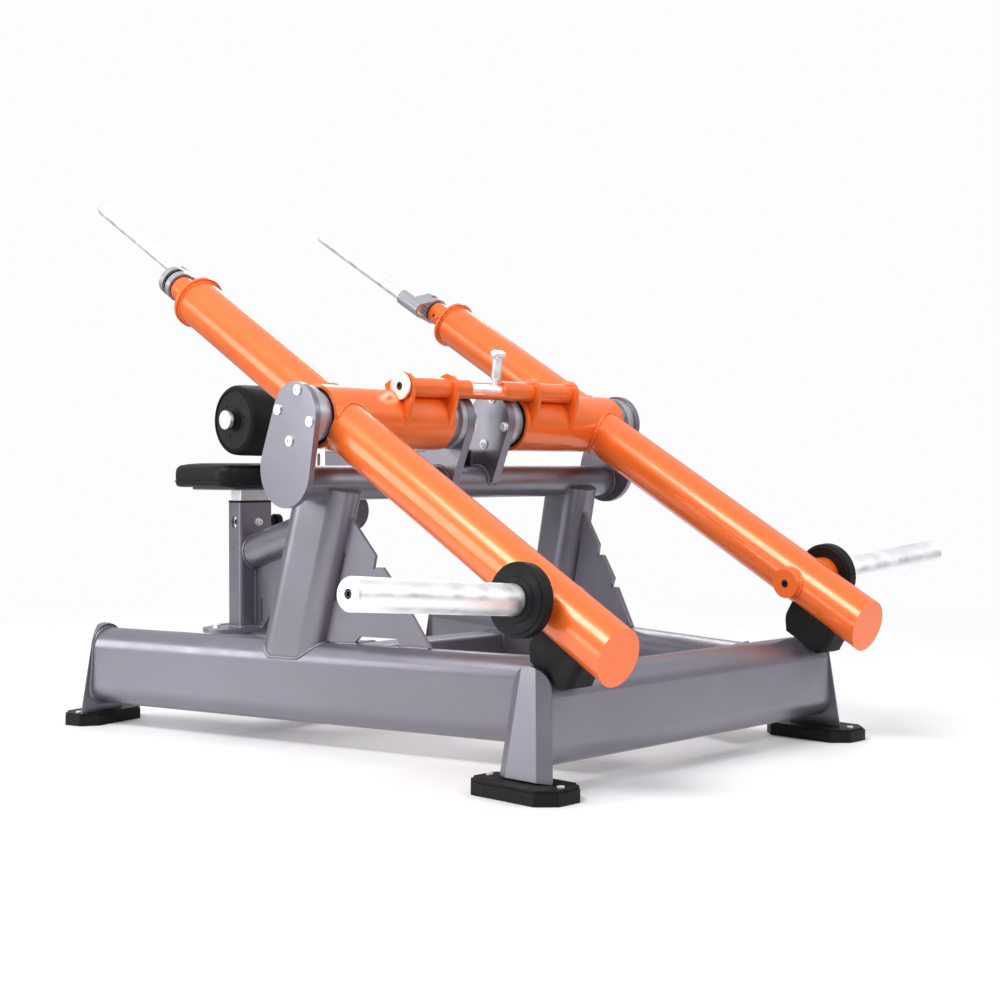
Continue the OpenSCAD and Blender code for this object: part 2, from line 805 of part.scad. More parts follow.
module right_roller_foam() { roller_foam(1); }

// ---------------------------------------------------------------- arms

module pivot_bore(x0, x1, r) {
    translate([x0, 0, pivot_z]) rotate([0, 90, 0]) cylinder(r = r, h = x1 - x0);
}

// One arm: a straight tube across a pivot tube, a flange and a reduced neck at the rear,
// a flat cap at the front and a boss for the weight horn
module arm(side) {
    inner = pivot_tube_d / 2 - tube_wall;
    color("#f07a35") placed() on_side(side) difference() {
        union() {
            pivot_bore(pivot_tube_in, pivot_tube_out, pivot_tube_d / 2);
            on_arm() translate([0, 0, -arm_rear]) cylinder(d = arm_d, h = arm_rear + arm_front + 30);
            on_arm() translate([0, 0, -arm_rear]) cylinder(d = arm_d + 13, h = 7);
            on_arm() translate([0, 0, -neck_end]) cylinder(d = neck_d, h = neck_end - arm_rear + 20);
            on_horn() translate([0, 0, -arm_d / 2 - 12]) cylinder(d = 54, h = arm_d + 12);
            on_horn() cylinder(d = horn_boss_d, h = arm_d / 2 + 16);
        }
        on_arm() translate([0, 0, arm_front]) rotate([-arm_cut, 0, 0]) translate([-100, -100, 0]) cube([200, 200, 100]);
        pivot_bore(pivot_tube_in - eps, pivot_tube_out + 20, inner);
        on_arm() translate([0, 0, -arm_rear + 22]) cylinder(d = arm_d - 10, h = arm_rear - 110);
        on_arm() translate([0, 0, 110]) cylinder(d = arm_d - 10, h = horn_t - 110 - 60);
        on_horn() translate([0, 0, -30]) cylinder(d = 30, h = 200);
        on_horn() translate([0, 0, -arm_d / 2 - 12 - eps]) cylinder(d = 15, h = 7);
        on_arm() translate([0, 0, -neck_end - eps]) cylinder(d = 30, h = 80);
        for (t = neck_screw_t) on_arm() translate([0, 0, -t]) rotate([0, -90, 0]) cylinder(d = 6.4, h = 40);
    }
}
neck_screw_t = [504, 520];

// The horn's own line on the right arm: local +Z runs outboard along the horn
module on_horn() {
    on_arm() translate([0, 0, horn_t]) rotate([0, 90, 0]) rotate([-horn_tilt, 0, 0]) children();
}

module left_arm() { arm(-1); }

module right_arm() { arm(1); }

// Flanged bushes in the ends of a pivot tube, turning with it on the shaft
module bearings(side) {
    inner = pivot_tube_d / 2 - tube_wall;
    color("#2c2c30") placed() on_side(side) difference() {
        union() {
            pivot_bore(pivot_tube_in + 0.5, pivot_tube_in + bearing_l, inner);
            pivot_bore(pivot_tube_out - bearing_l, pivot_tube_out - 0.5, inner);
        }
        pivot_bore(0, 500, shaft_d / 2 + bearing_clear);
    }
}

module left_bearings() { bearings(-1); }

module right_bearings() { bearings(1); }

// Weight horn: a plain bar, thinner under its collar, with a spigot in the arm's boss
module horn(side) {
    start = arm_d / 2 + 16;
    color("#e4e7ec") placed() on_side(side) on_horn() difference() {
        union() {
            translate([0, 0, -28]) cylinder(d = 29.6, h = 100);
            translate([0, 0, start]) cylinder(d = horn_under_d, h = 60);
            translate([0, 0, start + horn_bare]) cylinder(d = horn_d, h = horn_tip - 12 - start - horn_bare);
        }
        translate([0, 0, horn_tip - 52]) cylinder(d = 10, h = 50);
    }
}

module left_horn() { horn(-1); }

module right_horn() { horn(1); }

module horn_cap(side) {
    color("#eceef2") placed() on_side(side) on_horn() difference() {
        union() {
            translate([0, 0, horn_tip - 12]) cylinder(d = horn_d, h = 8);
            translate([0, 0, horn_tip - 4]) cylinder(d1 = horn_d, d2 = horn_d - 6, h = 4);
            translate([0, 0, horn_tip - 46]) cylinder(d = 9.8, h = 36);
        }
        translate([0, 0, horn_tip - 6]) cylinder(d = 15, h = 10);
        translate([0, 0, horn_tip - 14]) cylinder(d = 8, h = 20, $fn = 6);
    }
}

module left_horn_cap() { horn_cap(-1); }

module right_horn_cap() { horn_cap(1); }

// Stepped rubber collar that the plates rest against
module horn_collar(side) {
    start = arm_d / 2 + 16;
    color("#17171a") placed() on_side(side) on_horn() translate([0, 0, start]) difference() {
        union() {
            cylinder(r = 55, h = 6);
            translate([0, 0, 3]) cylinder(r = 59, h = 19);
            translate([0, 0, 22]) cylinder(r = 52, h = 3);
            translate([0, 0, 25]) cylinder(r = 36, h = 3);
        }
        translate([0, 0, -eps]) cylinder(d = horn_under_d, h = 60);
    }
}

module left_horn_collar() { horn_collar(-1); }

module right_horn_collar() { horn_collar(1); }

// Rubber stop under the arm, saddled to the tube, its lower face square to the arm's underside and
// its lower ends cut off. It rests on the front beam's rounded top.
bumper_w = 60;
bumper_t = [620, 730];    // its ends, along the arm from the pivot
bumper_cut = [30, 12];    // size of the cut at its end near the pivot, and at its front end
bumper_gap = 0.3;         // the rubber rests on the beam
module bumper(side) {
    beam_mid_z = base_top - base_r;
    drop = (pivot_z - beam_mid_z) * cos(arm_pitch) - beam_y * sin(arm_pitch);
    low = -(drop - base_r - bumper_gap);
    t0 = bumper_t[0];
    t1 = bumper_t[1];
    c = bumper_cut;
    color("#141416") placed() on_side(side) on_arm() difference() {
        intersection() {
            translate([-bumper_w / 2, 0, 0]) rotate([90, 0, 90]) linear_extrude(bumper_w)
                polygon([[-15, t0], [low + c[0], t0], [low, t0 + c[0] * 0.7], [low, t1 - c[1]], [low + c[1], t1], [-15, t1]]);
            translate([0, 0, (t0 + t1) / 2]) rotate([90, 0, 0]) linear_extrude(-low + 10) round_rect(bumper_w, t1 - t0, 12);
        }
        cylinder(d = arm_d, h = 900);
    }
}

module left_bumper() { bumper(-1); }

module right_bumper() { bumper(1); }

// Socket screws: one in the horn's boss on the inner side, two in the neck;
// and the stop pin that rides in the handle bracket's slot
module arm_screws(side) {
    color("#2a2a2e") placed() on_side(side) {
        on_horn() translate([0, 0, -arm_d / 2 - 12]) difference() {
            cylinder(d = 14, h = 6);
            translate([0, 0, -eps]) cylinder(d = 7, h = 5, $fn = 6);
        }
        for (t = neck_screw_t) on_arm() translate([0, 0, -t]) rotate([0, -90, 0]) difference() {
            translate([0, 0, 16]) cylinder(d = 6.2, h = neck_d / 2 - 15);
            translate([0, 0, neck_d / 2 - 2]) cylinder(d = 3, h = 4, $fn = 6);
        }
        on_arm() translate([0, 0, -(collar_start + collar_end) / 2]) rotate([0, 0, 95]) rotate([0, 90, 0])
            translate([0, 0, bush_r - 6]) cylinder(d = stop_pin_d, h = collar_r - bush_r + 6);
    }
}

module left_arm_screws() { arm_screws(-1); }

module right_arm_screws() { arm_screws(1); }

// Black bush that the handle's collar turns on, with its stem in the arm's neck
module handle_bush(side) {
    color("#17171a") placed() on_side(side) on_arm() difference() {
        union() {
            translate([0, 0, -collar_start]) cylinder(d = 29.8, h = 60);
            translate([0, 0, -bush_end]) cylinder(r = bush_r, h = bush_end - neck_end);
        }
        translate([0, 0, -(collar_start + collar_end) / 2]) rotate([0, 0, 95]) rotate([0, 90, 0])
            translate([0, 0, bush_r - 6]) cylinder(d = stop_pin_d, h = 10);
        for (t = neck_screw_t) translate([0, 0, -t]) rotate([0, -90, 0]) cylinder(d = 6.4, h = 40);
    }
}

module left_handle_bush() { handle_bush(-1); }

module right_handle_bush() { handle_bush(1); }

// Handle bracket: a collar round the bush, with a stop slot, and a sleeve held inboard of it
module swivel(side) {
    color("#a9a9b4") placed() on_side(side) on_arm() difference() {
        union() {
            translate([0, 0, -collar_end]) cylinder(r = collar_r, h = collar_end - collar_start);
            translate([-grip_offset, 0, -sleeve_end]) cylinder(r = sleeve_r, h = sleeve_end - sleeve_start);
            translate([0, 0, -collar_end]) linear_extrude(collar_end - collar_start)
                link([0, 0], collar_r - 0.5, [-grip_offset, 0], sleeve_r - 0.5);
        }
        translate([0, 0, -collar_end - eps]) cylinder(r = bush_r + 0.05, h = collar_end - collar_start + 2 * eps);
        translate([-grip_offset, 0, -sleeve_end - eps]) cylinder(d = grip_d, h = sleeve_end - sleeve_start + 2 * eps);
        // stop slot, half way round the collar's outboard side
        translate([0, 0, -(collar_start + collar_end) / 2 - slot_w / 2]) rotate([0, 0, -95])
            rotate_extrude(angle = 200) translate([bush_r - 1, 0]) square([12, slot_w]);
    }
}

module left_swivel() { swivel(-1); }

module right_swivel() { swivel(1); }

module grip(side) {
    color("#e9ebf0") placed() on_side(side) on_arm() translate([-grip_offset, 0, 0]) {
        translate([0, 0, -grip_tip + grip_d / 2]) cylinder(d = grip_d, h = grip_tip - grip_tail - grip_d / 2);
        translate([0, 0, -grip_tip + grip_d / 2]) sphere(d = grip_d);
    }
}

module left_grip() { grip(-1); }

module right_grip() { grip(1); }

// ---------------------------------------------------------------- lock between the arms

module lock_line(x) {
    translate([x, lock_y, lock_z]) rotate([0, 90, 0]) children();
}

// Rib outline in the Y-Z plane: a ring round the barrel, drawn out to a point on the pivot tube
module rib_outline() {
    front = lock_y - rib_ring_r;
    tip = [-56, pivot_z - 14];
    difference() {
        union() {
            translate([lock_y, lock_z]) circle(r = rib_ring_r);
            polygon([[front, lock_z], [front, lock_z - 14], [front + 4, lock_z - 32], [front + 11, lock_z - 48], tip,
                [lock_y / 2, pivot_z + 20], [0, pivot_z + 62], [lock_y + 9, lock_z + rib_ring_r - 2]]);
        }
        translate([0, pivot_z]) circle(d = pivot_tube_d);
    }
}

module lock_barrel(side) {
    color("#f07a35") placed() difference() {
        union() {
            lock_line(side < 0 ? -lock_out : lock_split + lock_gap / 2)
                cylinder(r = lock_r, h = lock_out + side * -lock_split - lock_gap / 2);
            for (x = rib_x) on_side(side) side_plate(x - rib_t / 2, rib_t) rib_outline();
        }
        lock_line(-lock_out - 10) cylinder(r = lock_bore, h = 2 * lock_out + 20);
        // the left barrel is cut open at its front and top, where the knob's stem travels
        if (side < 0) translate([knob_slot[0], lock_y, lock_z]) rotate([slot_face, 0, 0])
            translate([0, -40, 3]) cube([knob_slot[1] - knob_slot[0], 80, 60]);
    }
}

module left_lock_barrel() { lock_barrel(-1); }

module right_lock_barrel() { lock_barrel(1); }

// Sliding pin that joins the two barrels
module lock_pin() {
    color("#c9ccd2") placed() difference() {
        lock_line(-lock_pin_half) cylinder(r = lock_bore - 0.05, h = 2 * lock_pin_half);
        knob_line() translate([0, 0, -2]) cylinder(d = knob_neck_d, h = 30);
    }
}

module knob_line() {
    translate([knob_x, lock_y, lock_z]) rotate([knob_lean, 0, 0]) children();
}

module lock_knob() {
    color("#e9ebf0") placed() knob_line() {
        translate([0, 0, -2]) cylinder(d = knob_neck_d, h = 24);
        translate([0, 0, lock_r + 1]) cylinder(d1 = 16, d2 = 20, h = 4);
        translate([0, 0, lock_r + 5]) cylinder(d = 20, h = 38);
        translate([0, 0, lock_r + 42]) cylinder(d1 = 20, d2 = 31, h = 6);
        translate([0, 0, lock_r + 48]) cylinder(d = 31, h = 6);
        translate([0, 0, lock_r + 54]) cylinder(d1 = 31, d2 = 20, h = 5);
    }
}

// Plug with a socket screw in the left barrel's outer end
module lock_cap() {
    color("#f1f2f5") placed() lock_line(-lock_out) mirror([0, 0, 1]) difference() {
        union() {
            cylinder(r = lock_r + 7, h = 5);
            translate([0, 0, -20]) cylinder(r = lock_bore - 0.1, h = 21);
        }
        translate([0, 0, 1]) cylinder(d = 10, h = 6, $fn = 6);
        // the disc is cut away where it meets the pivot tube
        translate([lock_z - pivot_z, -lock_y, -30]) cylinder(d = pivot_tube_d + 1, h = 60);
    }
}

// ---------------------------------------------------------------- parts by name

left_rail();
right_rail();
front_beam();
foot_plates();
rubber_feet();
foot_screws();
crossmember();
spine_beam();
left_upright();
right_upright();
gusset_plates();
crossbar();
outer_bearing_plates();
center_bearing_plates();
hub_flanges();
plate_bolts();
pivot_shaft();
seat_base_plate();
seat_post();
seat_strut();
strut_gusset();
roller_bracket();
roller_sleeve();
post_trims();
post_screws();
seat_tube();
seat_plate();
seat_cushion();
seat_pin();
roller_slide();
roller_axle();
left_roller_core();
right_roller_core();
left_roller_foam();
right_roller_foam();
left_arm();
right_arm();
left_bearings();
right_bearings();
left_horn();
right_horn();
left_horn_cap();
right_horn_cap();
left_horn_collar();
right_horn_collar();
left_bumper();
right_bumper();
left_arm_screws();
right_arm_screws();
left_handle_bush();
right_handle_bush();
left_swivel();
right_swivel();
left_grip();
right_grip();
left_lock_barrel();
right_lock_barrel();
lock_pin();
lock_knob();
lock_cap();
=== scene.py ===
import json
import math
from math import cos, pi, radians, sin, sqrt

import bmesh
import bpy
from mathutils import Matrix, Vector, noise
from mathutils.bvhtree import BVHTree
from mathutils.kdtree import KDTree


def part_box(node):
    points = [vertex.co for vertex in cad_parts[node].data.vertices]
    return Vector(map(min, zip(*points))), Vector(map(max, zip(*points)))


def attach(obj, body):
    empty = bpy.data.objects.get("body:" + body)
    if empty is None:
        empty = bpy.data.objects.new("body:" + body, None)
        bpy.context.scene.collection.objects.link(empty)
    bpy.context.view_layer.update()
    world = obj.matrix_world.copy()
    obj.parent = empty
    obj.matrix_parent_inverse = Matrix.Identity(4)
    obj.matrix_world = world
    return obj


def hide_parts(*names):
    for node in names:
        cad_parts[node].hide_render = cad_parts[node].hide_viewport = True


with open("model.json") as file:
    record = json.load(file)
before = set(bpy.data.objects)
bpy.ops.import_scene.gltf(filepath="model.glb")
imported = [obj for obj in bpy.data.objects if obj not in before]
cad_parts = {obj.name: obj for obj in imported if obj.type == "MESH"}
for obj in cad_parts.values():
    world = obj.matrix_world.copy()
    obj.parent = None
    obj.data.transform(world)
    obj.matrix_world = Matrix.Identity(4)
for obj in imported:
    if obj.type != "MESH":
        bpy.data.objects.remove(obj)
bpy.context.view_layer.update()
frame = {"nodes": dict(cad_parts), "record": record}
nodes = frame["nodes"]
bodies = frame["record"]["behaviour"]["bodies"]
joints = {j["name"]: j for j in frame["record"]["behaviour"]["joints"]}

# ---------------------------------------------------------------- named values, in metres

PIVOT = Vector((0, joints["left_lever_swing"]["pos_m"][1], joints["left_lever_swing"]["pos_m"][2]))
ARM_REAR = Vector(joints["left_handle_swivel"]["axis"])      # along an arm, towards its handle
ARM_UP = Vector((0, -ARM_REAR.z, ARM_REAR.y))                # square to an arm, upwards
ARM_X = abs(joints["left_handle_swivel"]["pos_m"][0])
ARM_R = 0.046
PIVOT_TUBE_R = 0.0575
PIVOT_TUBE_END = 0.388
FLANGE_T = 0.478
NECK_R = 0.025
HORN_T = 0.610
HORN_BOSS_R = 0.035
HORN_RIM_R = 0.022                                          # flat end of a horn cap
INNER_BOSS_R = 0.027                                        # screw boss on an arm's inner side
FLANGE_THICK = 0.007
HORN_AXIS = Vector(frame["record"]["mounts"][1]["axis"])
PLATE_IN = 0.4245
CROSSBAR_R = 0.0315
CROSSBAR = Vector((0, PIVOT.y + 0.0302, 0.4815))
RAIL_SPLAY = radians(14.2)
RAIL_X = 0.319
RAIL_MID_Z = 0.117
RAIL_TOP = 0.192
RAIL_OVAL = (0.076, 0.150)
UPRIGHT_OVAL = (0.074, 0.128)
UPRIGHT_MID = 0.36                                          # halfway up an upright, from the floor
BOX_BEAM = (0.080, 0.100, 0.008)                            # crossmember and spine: width, height, corner
BOX_BEAM_Z = 0.094
CROSSMEMBER_Y = PIVOT.y + 0.290
GUSSET_HALF = 0.0055
GUSSET_RUNS = ((-0.180, -0.122), (-0.028, 0.020))           # where the gusset stands on the rail
CENTER_PLATE_FACES = (0.0450, 0.0640)
CENTER_PLATE_WRAP = (radians(-14), radians(194))            # the plates go round this much of the crossbar
LEAN = radians(14.3)
STRUT_RISE = radians(15.7)
STRUT_Z = 0.323
STRUT_R = 0.038
SQUARE_CORNER = 0.007                                       # corners of the seat post and the roller bracket
POST_GUSSET = (0.005, 0.028, 0.146)                         # half thickness, depth, height
WELD_R = 0.0032
ARM_WELD_R = 0.0042
FLANGE_WELD_R = 0.0028
THIN_WELD_R = 0.0026
WELD_SINK = 0.0003                                          # how deep a straight bead lies in the rail
WELD_STEP = 0.0014
WELD_PITCH = 0.0048
SEAT_IN = 0.004                                             # slab inside the CAD cushion, all round
SEAT_LOWER = 0.007                                          # slab below its top, which leaves room to swell
SEAT_CORNER = 0.036
SEAT_EDGE = 0.016
SWELL_VOXEL = 0.005
SWELL_PRESSURE = 5
SWELL_LIMIT = 0.004
SWELL_DEPTH = 0.012                                         # only this much of the cushion's top can swell
SEAT_TOP_LIMIT = 0.002                                      # furthest above the CAD cushion
TOP_SEAM = (0.262, 0.176, 0.026)                            # width, depth and corner radius
TOP_SEAM_DEPTH, TOP_SEAM_WIDTH = 0.0022, 0.0026
SIDE_SEAM_Z = 0.013
SIDE_SEAM_DEPTH, SIDE_SEAM_WIDTH = 0.0014, 0.0024
SIDE_SEAM_CORNER = 0.038
SEAM_STEP = 0.002
STITCH_OFFSET = 0.0032
STITCH_LENGTH, STITCH_GAP, STITCH_R = 0.0042, 0.0022, 0.00045
CORD_R = 0.0021
FOAM_MOUTH = 0.0640                                         # radius of the recess in a roller's ends
FOAM_ROUND = 0.013
FOAM_CROWN = 0.0012
FOAM_UNDER = 0.0006                                         # skin below the CAD roller's surface
SCREW_SINK = 0.0010
FLOOR_FADE = (1.3, 3.2)                                     # where the floor starts and ends to fade out


# ---------------------------------------------------------------- materials


class Shader:
    """A node material built round one Principled shader."""

    def __init__(self, name):
        self.mat = bpy.data.materials.new(name)
        self.mat.use_nodes = True
        self.tree = self.mat.node_tree
        self.bsdf = self.tree.nodes["Principled BSDF"]
        coords = self.new("ShaderNodeTexCoord")
        self.coords = coords.outputs["Object"]

    def new(self, kind, **values):
        node = self.tree.nodes.new(kind)
        for key, value in values.items():
            setattr(node, key, value)
        return node

    def link(self, a, b):
        self.tree.links.new(a, b)

    def noise(self, scale, detail=4, rough=0.5, stretch=None):
        n = self.new("ShaderNodeTexNoise")
        n.inputs["Scale"].default_value = scale
        n.inputs["Detail"].default_value = detail
        n.inputs["Roughness"].default_value = rough
        source = self.coords
        if stretch:
            m = self.new("ShaderNodeMapping")
            m.inputs["Scale"].default_value = stretch
            self.link(source, m.inputs["Vector"])
            source = m.outputs["Vector"]
        self.link(source, n.inputs["Vector"])
        return n.outputs["Fac"]

    def cells(self, scale, feature="F1"):
        n = self.new("ShaderNodeTexVoronoi", feature=feature)
        n.inputs["Scale"].default_value = scale
        self.link(self.coords, n.inputs["Vector"])
        return n.outputs["Distance"]

    def spread(self, value, low, high, to_low, to_high):
        m = self.new("ShaderNodeMapRange")
        for key, v in (("From Min", low), ("From Max", high), ("To Min", to_low), ("To Max", to_high)):
            m.inputs[key].default_value = v
        self.link(value, m.inputs["Value"])
        return m.outputs["Result"]

    def times(self, a, b):
        m = self.new("ShaderNodeMath", operation="MULTIPLY")
        self.link(a, m.inputs[0])
        if isinstance(b, (int, float)):
            m.inputs[1].default_value = b
        else:
            self.link(b, m.inputs[1])
        return m.outputs[0]

    def mix(self, factor, a, b):
        m = self.new("ShaderNodeMix", data_type="RGBA")
        self.link(factor, m.inputs["Factor"])
        for socket, value in ((m.inputs["A"], a), (m.inputs["B"], b)):
            if isinstance(value, tuple):
                socket.default_value = (*value, 1)
            else:
                self.link(value, socket)
        return m.outputs["Result"]

    def edges(self, radius):
        """1 on sharp outer edges, 0 elsewhere."""
        bevel = self.new("ShaderNodeBevel", samples=3)
        bevel.inputs["Radius"].default_value = radius
        geometry = self.new("ShaderNodeNewGeometry")
        dot = self.new("ShaderNodeVectorMath", operation="DOT_PRODUCT")
        self.link(bevel.outputs["Normal"], dot.inputs[0])
        self.link(geometry.outputs["Normal"], dot.inputs[1])
        return self.spread(dot.outputs["Value"], 0.985, 0.86, 0, 1)

    def bumps(self, *layers):
        """Stacks (height, strength, distance) layers into the shader's normal."""
        before = None
        for height, strength, distance in layers:
            b = self.new("ShaderNodeBump")
            b.inputs["Strength"].default_value = strength
            b.inputs["Distance"].default_value = distance
            self.link(height, b.inputs["Height"])
            if before:
                self.link(before, b.inputs["Normal"])
            before = b.outputs["Normal"]
        self.link(before, self.bsdf.inputs["Normal"])

    def set(self, **values):
        for key, value in values.items():
            self.bsdf.inputs[key.replace("_", " ")].default_value = value

    def color(self, output):
        self.link(output, self.bsdf.inputs["Base Color"])

    def roughness(self, output):
        self.link(output, self.bsdf.inputs["Roughness"])


def lighter(color, k):
    return tuple(min(1, c * k) for c in color)


def powder_coat(name, color, metallic, rough, coat, flake=0.0, wear=0.35):
    """Sprayed powder coat: orange peel, faint blotches, thin spots along edges and optional metal flake."""
    s = Shader(name)
    s.set(Metallic=metallic, Coat_Weight=coat, Coat_Roughness=0.12, IOR=1.5)
    blotch = s.spread(s.noise(3.5, 3), 0.3, 0.7, 0, 1)
    tone = s.mix(blotch, lighter(color, 0.94), lighter(color, 1.06))
    if flake:
        speck = s.spread(s.cells(2600), 0.0, 0.32, flake, 0)
        tone = s.mix(speck, tone, lighter(color, 1.9))
    if wear:
        worn = s.times(s.edges(0.0016), s.spread(s.noise(70, 5, 0.7), 0.45, 0.62, 0, wear))
        tone = s.mix(worn, tone, lighter(color, 1.5))
    s.color(tone)
    s.roughness(s.spread(s.noise(24, 4), 0.3, 0.7, rough - 0.05, rough + 0.07))
    s.bumps((s.noise(260, 2), 0.10, 0.0006), (s.noise(1500, 2), 0.05, 0.0002))
    return s.mat


def bright_metal(name, color, rough, streak, wear=0.25):
    """Plated or ground steel: fine drawn streaks, smudges and dulled edges."""
    s = Shader(name)
    s.set(Metallic=1.0)
    smudge = s.spread(s.noise(9, 4), 0.35, 0.75, 0, 1)
    tone = s.mix(smudge, color, lighter(color, 0.93))
    worn = s.times(s.edges(0.0012), s.spread(s.noise(90, 4, 0.7), 0.4, 0.65, 0, wear))
    s.color(s.mix(worn, tone, lighter(color, 0.72)))
    s.roughness(s.spread(s.noise(30, 5), 0.3, 0.75, rough * 0.75, rough * 1.5))
    drawn = s.noise(180, 3, 0.6, stretch=(1, 14, 14))
    s.bumps((drawn, streak, 0.0002), (s.noise(900, 2), streak * 0.4, 0.0001))
    return s.mat


def moulded(name, color, rough, pebble, wear=0.5):
    """Moulded rubber or plastic: pebbled skin, dusty patches and scuffed edges."""
    s = Shader(name)
    s.set(Metallic=0.0, IOR=1.48, Specular_IOR_Level=0.22)
    dust = s.spread(s.noise(7, 6, 0.65), 0.45, 0.75, 0, 0.3)
    tone = s.mix(dust, color, lighter(color, 1.8))
    worn = s.times(s.edges(0.0018), s.spread(s.noise(60, 5, 0.7), 0.4, 0.62, 0, wear))
    s.color(s.mix(worn, tone, lighter(color, 3.2)))
    s.roughness(s.spread(s.noise(40, 4), 0.3, 0.7, rough - 0.08, rough + 0.1))
    s.bumps((s.cells(pebble), 0.22, 0.0005), (s.noise(420, 3), 0.12, 0.0003))
    return s.mat


def leather(name, color):
    """Black upholstery: pebbled grain with fine creases, painted shade in the grain's pits and lighter crests,
    a soft sheen and lighter rubbed patches.
    """
    s = Shader(name)
    s.set(Metallic=0.0, IOR=1.5, Specular_IOR_Level=0.22, Coat_Weight=0.03, Coat_Roughness=0.35)
    s.set(Sheen_Weight=0.03, Sheen_Roughness=0.35)
    rub = s.spread(s.noise(11, 5, 0.6), 0.45, 0.8, 0, 0.4)
    grain = s.cells(520, "SMOOTH_F1")
    # painted shade: the grain's pits are coloured darker and its crests lighter, following the grain's bump
    # height
    painted_pit_shade = s.spread(grain, 0.15, 0.6, 0, 1)
    tone = s.mix(painted_pit_shade, lighter(color, 0.7), lighter(color, 1.5))
    s.color(s.mix(rub, tone, lighter(color, 2.2)))
    s.roughness(s.spread(s.noise(60, 4), 0.3, 0.7, 0.42, 0.58))
    s.bumps((grain, 0.45, 0.0006), (s.noise(38, 5, 0.65), 0.25, 0.0012))
    return s.mat


def foam_skin(name, color):
    """Moulded foam with a smooth skin: tiny cells and long faint ripples."""
    s = Shader(name)
    s.set(Metallic=0.0, IOR=1.45, Specular_IOR_Level=0.2, Sheen_Weight=0.02, Sheen_Roughness=0.5)
    patch = s.spread(s.noise(14, 5, 0.6), 0.4, 0.75, 0, 0.5)
    s.color(s.mix(patch, color, lighter(color, 1.9)))
    s.roughness(s.spread(s.noise(50, 4), 0.3, 0.7, 0.48, 0.66))
    s.bumps((s.cells(1100), 0.3, 0.0003), (s.noise(55, 4), 0.18, 0.0009))
    return s.mat


ORANGE = (0.86, 0.150, 0.016)
SILVER_GREY = (0.225, 0.215, 0.255)
MATERIALS = {
    "frame_paint": powder_coat("frame_paint", SILVER_GREY, 0.75, 0.34, 0.25, flake=0.22),
    "arm_paint": powder_coat("arm_paint", ORANGE, 0.2, 0.32, 0.5, wear=0),
    "hub_steel": powder_coat("hub_steel", (0.40, 0.395, 0.43), 0.55, 0.36, 0.25, flake=0.15),
    "shaft_steel": bright_metal("shaft_steel", (0.60, 0.60, 0.64), 0.22, 0.10),
    "bolt_steel": bright_metal("bolt_steel", (0.95, 0.95, 0.96), 0.5, 0.03, wear=0.1),
    "black_steel": bright_metal("black_steel", (0.05, 0.05, 0.055), 0.32, 0.08),
    "chrome": bright_metal("chrome", (0.98, 0.98, 0.99), 0.42, 0.004, wear=0.05),
    "rubber": moulded("rubber", (0.0042, 0.0042, 0.0048), 0.5, 700),
    "foam": foam_skin("foam", (0.004, 0.004, 0.0045)),
    "upholstery": leather("upholstery", (0.0048, 0.0048, 0.0054)),
    "black_plastic": moulded("black_plastic", (0.006, 0.006, 0.007), 0.4, 900, wear=0.3),
    "disc_plastic": moulded("disc_plastic", (0.012, 0.012, 0.014), 0.42, 1100, wear=0.3),
}
SLOT_OF = {s["node"]: s["material_slot"] for s in frame["record"]["subparts"]}
BODY_OF = {n: body for body, names in bodies.items() for n in names}


def paint(obj, slot):
    obj.data.materials.clear()
    obj.data.materials.append(MATERIALS[slot])
    for face in obj.data.polygons:
        face.material_index = 0


def place(obj, body, slot):
    """Gives a new piece its material and its body."""
    paint(obj, slot)
    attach(obj, body)
    return obj


def new_piece(name, verts, faces, smooth=True):
    mesh = bpy.data.meshes.new(name)
    mesh.from_pydata([tuple(v) for v in verts], [], faces)
    mesh.validate()
    for face in mesh.polygons:
        face.use_smooth = smooth
    obj = bpy.data.objects.new(name, mesh)
    bpy.context.scene.collection.objects.link(obj)
    return obj


# ---------------------------------------------------------------- rounded copies of the CAD nodes


def apply_modifiers(obj):
    graph = bpy.context.evaluated_depsgraph_get()
    mesh = bpy.data.meshes.new_from_object(obj.evaluated_get(graph))
    obj.modifiers.clear()
    obj.data = mesh


def rounded(node, width):
    """A copy of a CAD node with its sharp edges rounded, which stands in for the node."""
    obj = bpy.data.objects.new(node + "_rounded", nodes[node].data.copy())
    bpy.context.scene.collection.objects.link(obj)
    bm = bmesh.new()
    bm.from_mesh(obj.data)
    bmesh.ops.remove_doubles(bm, verts=bm.verts, dist=2e-6)
    bmesh.ops.dissolve_limit(bm, angle_limit=radians(0.6), verts=bm.verts, edges=bm.edges)
    for face in bm.faces:
        face.smooth = True
    bm.to_mesh(obj.data)
    bm.free()
    bevel = obj.modifiers.new("bevel", "BEVEL")
    bevel.width = width
    bevel.segments = 2
    bevel.limit_method = "ANGLE"
    bevel.angle_limit = radians(28)
    bevel.use_clamp_overlap = True
    bevel.miter_outer = "MITER_ARC"
    normals = obj.modifiers.new("normals", "WEIGHTED_NORMAL")
    normals.keep_sharp = False
    normals.weight = 100
    apply_modifiers(obj)
    place(obj, BODY_OF[node], SLOT_OF[node])
    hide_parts(node)
    return obj


for name, node in nodes.items():
    paint(node, SLOT_OF[name])


ROUNDED = {
    0.0030: ["foot_plates"],
    0.0025: ["rubber_feet", "left_bumper", "right_bumper"],
    0.0016: ["outer_bearing_plates", "center_bearing_plates", "hub_flanges", "gusset_plates", "strut_gusset",
             "seat_base_plate", "seat_plate", "left_horn_collar", "right_horn_collar"],
    0.0010: ["post_trims", "roller_sleeve", "seat_pin", "lock_knob", "lock_cap",
             "left_roller_core", "right_roller_core", "left_horn_cap", "right_horn_cap",
             "left_swivel", "right_swivel"],
}
for width, names in ROUNDED.items():
    for name in names:
        rounded(name, width)

# ---------------------------------------------------------------- weld beads


